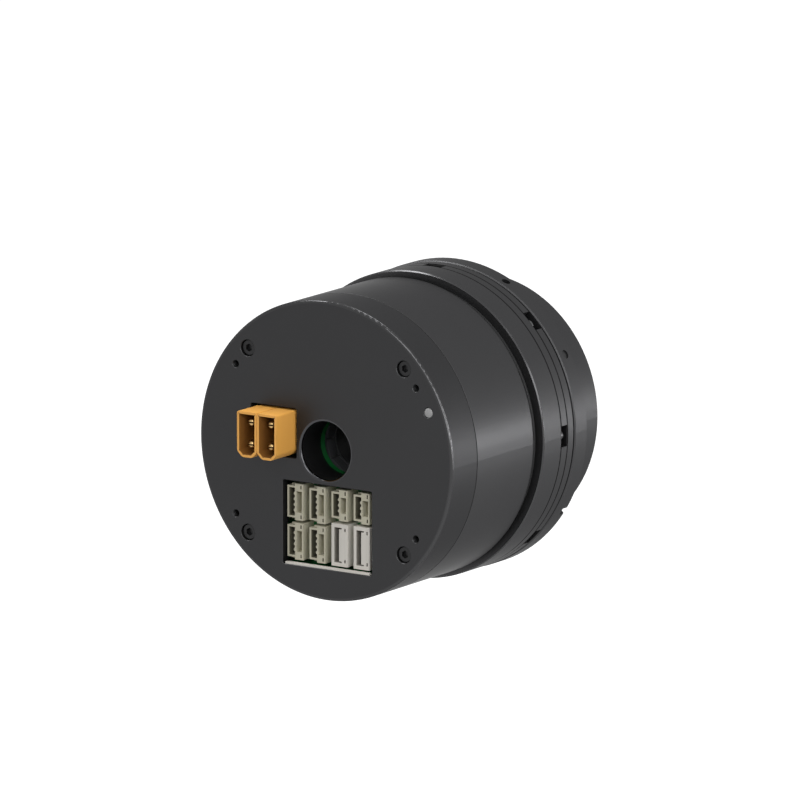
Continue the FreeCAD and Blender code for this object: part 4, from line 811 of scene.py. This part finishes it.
def build_pieces():
    add_power_headers()
    add_power_pins()
    add_signal_headers("signal_sockets_4_way", "signal_headers_4_way")
    add_signal_headers("signal_sockets_3_way", "signal_headers_3_way")
    add_service_headers()
    add_contacts()
    add_cover_screws()
    add_light_lens()
    add_threads()
    add_bore_edge()


build_pieces()


# ---------------------------------------------------------------- studio

FLOOR_SIZE = 8.0
FLOOR_DROP = 0.05
FLOOR_TONE = 0.3
FLOOR_LIFT = 0.93
WORLD_LEVEL = 0.12

CAMERA_AZIMUTH = math.radians(34.19)
CAMERA_ELEVATION = math.radians(11.7)
CAMERA_DISTANCE = 2.436
CAMERA_LENS = 500.85
FRAME_RIGHT = 0.01637
FRAME_UP = 0.01121

MIDDLE = (0, 0.03, 0)
# name, place, width and height, power, point that it faces
LAMPS = (
    ("right softbox", (1.0, 0.05, -0.02), (0.7, 0.7), 5.0, MIDDLE),
    ("right back softbox", (0.95, 0.35, 0.0), (0.4, 0.4), 5.0, MIDDLE),
    ("low back softbox", (0.7, 0.65, -0.06), (0.45, 0.05), 2.0, (0, 0.03, 0.01)),
    ("front softbox", (0.3, -0.8, 0.6), (0.5, 0.5), 3.2, MIDDLE),
    ("near softbox", (0.16, -0.1, 0.06), (0.1, 0.1), 0.14, MIDDLE),
    ("top softbox", (0.0, 0.1, 1.0), (0.4, 0.4), 5.0, MIDDLE),
    ("high left softbox", (-0.55, -0.2, 0.8), (0.3, 0.3), 4.0, MIDDLE),
    ("left softbox", (-0.95, 0.25, 0.2), (0.3, 0.3), 3.0, MIDDLE),
)


def seen_directly(tree):
    """1 for what the camera sees, straight or mirrored or through glass, and 0 for light on the part."""
    path = tree.nodes.new("ShaderNodeLightPath")
    seen = math_node(tree, "MAXIMUM", path.outputs["Is Camera Ray"], path.outputs["Is Glossy Ray"])
    return math_node(tree, "MAXIMUM", seen, path.outputs["Is Transmission Ray"])


def add_floor():
    """A pale floor under the part; for the camera it is near white, and no shadow shows on it."""
    mesh = bpy.data.meshes.new("floor")
    shape = bmesh.new()
    bmesh.ops.create_grid(shape, x_segments=1, y_segments=1, size=FLOOR_SIZE)
    bmesh.ops.translate(shape, verts=shape.verts, vec=(0, 0, cad_low[2] - FLOOR_DROP))
    shape.to_mesh(mesh)
    shape.free()
    floor = bpy.data.objects.new("floor", mesh)
    bpy.context.scene.collection.objects.link(floor)
    finish = bpy.data.materials.new("pale floor")
    finish.use_nodes = True
    tree = finish.node_tree
    shader = tree.nodes["Principled BSDF"]
    shader.inputs["Base Color"].default_value = (*[FLOOR_TONE] * 3, 1)
    shader.inputs["Roughness"].default_value = 0.9
    shader.inputs["Specular IOR Level"].default_value = 0.0
    shader.inputs["Emission Color"].default_value = (1, 1, 1, 1)
    tree.links.new(math_node(tree, "MULTIPLY", seen_directly(tree), FLOOR_LIFT),
                   shader.inputs["Emission Strength"])
    mesh.materials.append(finish)


def add_area(name, position, size, power, aim):
    """A plain rectangular lamp that faces a point."""
    lamp = bpy.data.lights.new(name, "AREA")
    lamp.shape = "RECTANGLE"
    lamp.size, lamp.size_y = size
    lamp.energy = power
    holder = bpy.data.objects.new(name, lamp)
    bpy.context.scene.collection.objects.link(holder)
    holder.location = position
    direction = Vector(aim) - Vector(position)
    holder.rotation_euler = direction.to_track_quat("-Z", "Y").to_euler()


def add_world():
    """A white surrounding for the camera, and a faint even light for the part."""
    world = bpy.data.worlds.new("studio")
    bpy.context.scene.world = world
    world.use_nodes = True
    tree = world.node_tree
    background = tree.nodes["Background"]
    strength = remap(tree, seen_directly(tree), WORLD_LEVEL, 1.0)
    background.inputs["Color"].default_value = (1, 1, 1, 1)
    tree.links.new(strength, background.inputs["Strength"])


def add_camera():
    """A long lens behind, above and to the right of the rear face, framed off centre."""
    sin_a, cos_a = math.sin(CAMERA_AZIMUTH), math.cos(CAMERA_AZIMUTH)
    sin_e, cos_e = math.sin(CAMERA_ELEVATION), math.cos(CAMERA_ELEVATION)
    forward = Vector((-sin_a * cos_e, cos_a * cos_e, -sin_e))
    right = Vector((cos_a, sin_a, 0))
    up = right.cross(forward)
    lens = bpy.data.cameras.new("camera")
    lens.lens = CAMERA_LENS
    lens.sensor_width = 36
    lens.clip_end = 50
    camera = bpy.data.objects.new("camera", lens)
    bpy.context.scene.collection.objects.link(camera)
    place = right * FRAME_RIGHT + up * FRAME_UP - forward * CAMERA_DISTANCE
    turn = Matrix((right, up, -forward)).transposed().to_4x4()
    camera.matrix_world = Matrix.Translation(place) @ turn
    bpy.context.scene.camera = camera


def set_the_stage():
    add_floor()
    add_world()
    add_camera()
    for lamp in LAMPS:
        add_area(*lamp)
    bpy.context.scene.view_settings.view_transform = "Standard"


set_the_stage()
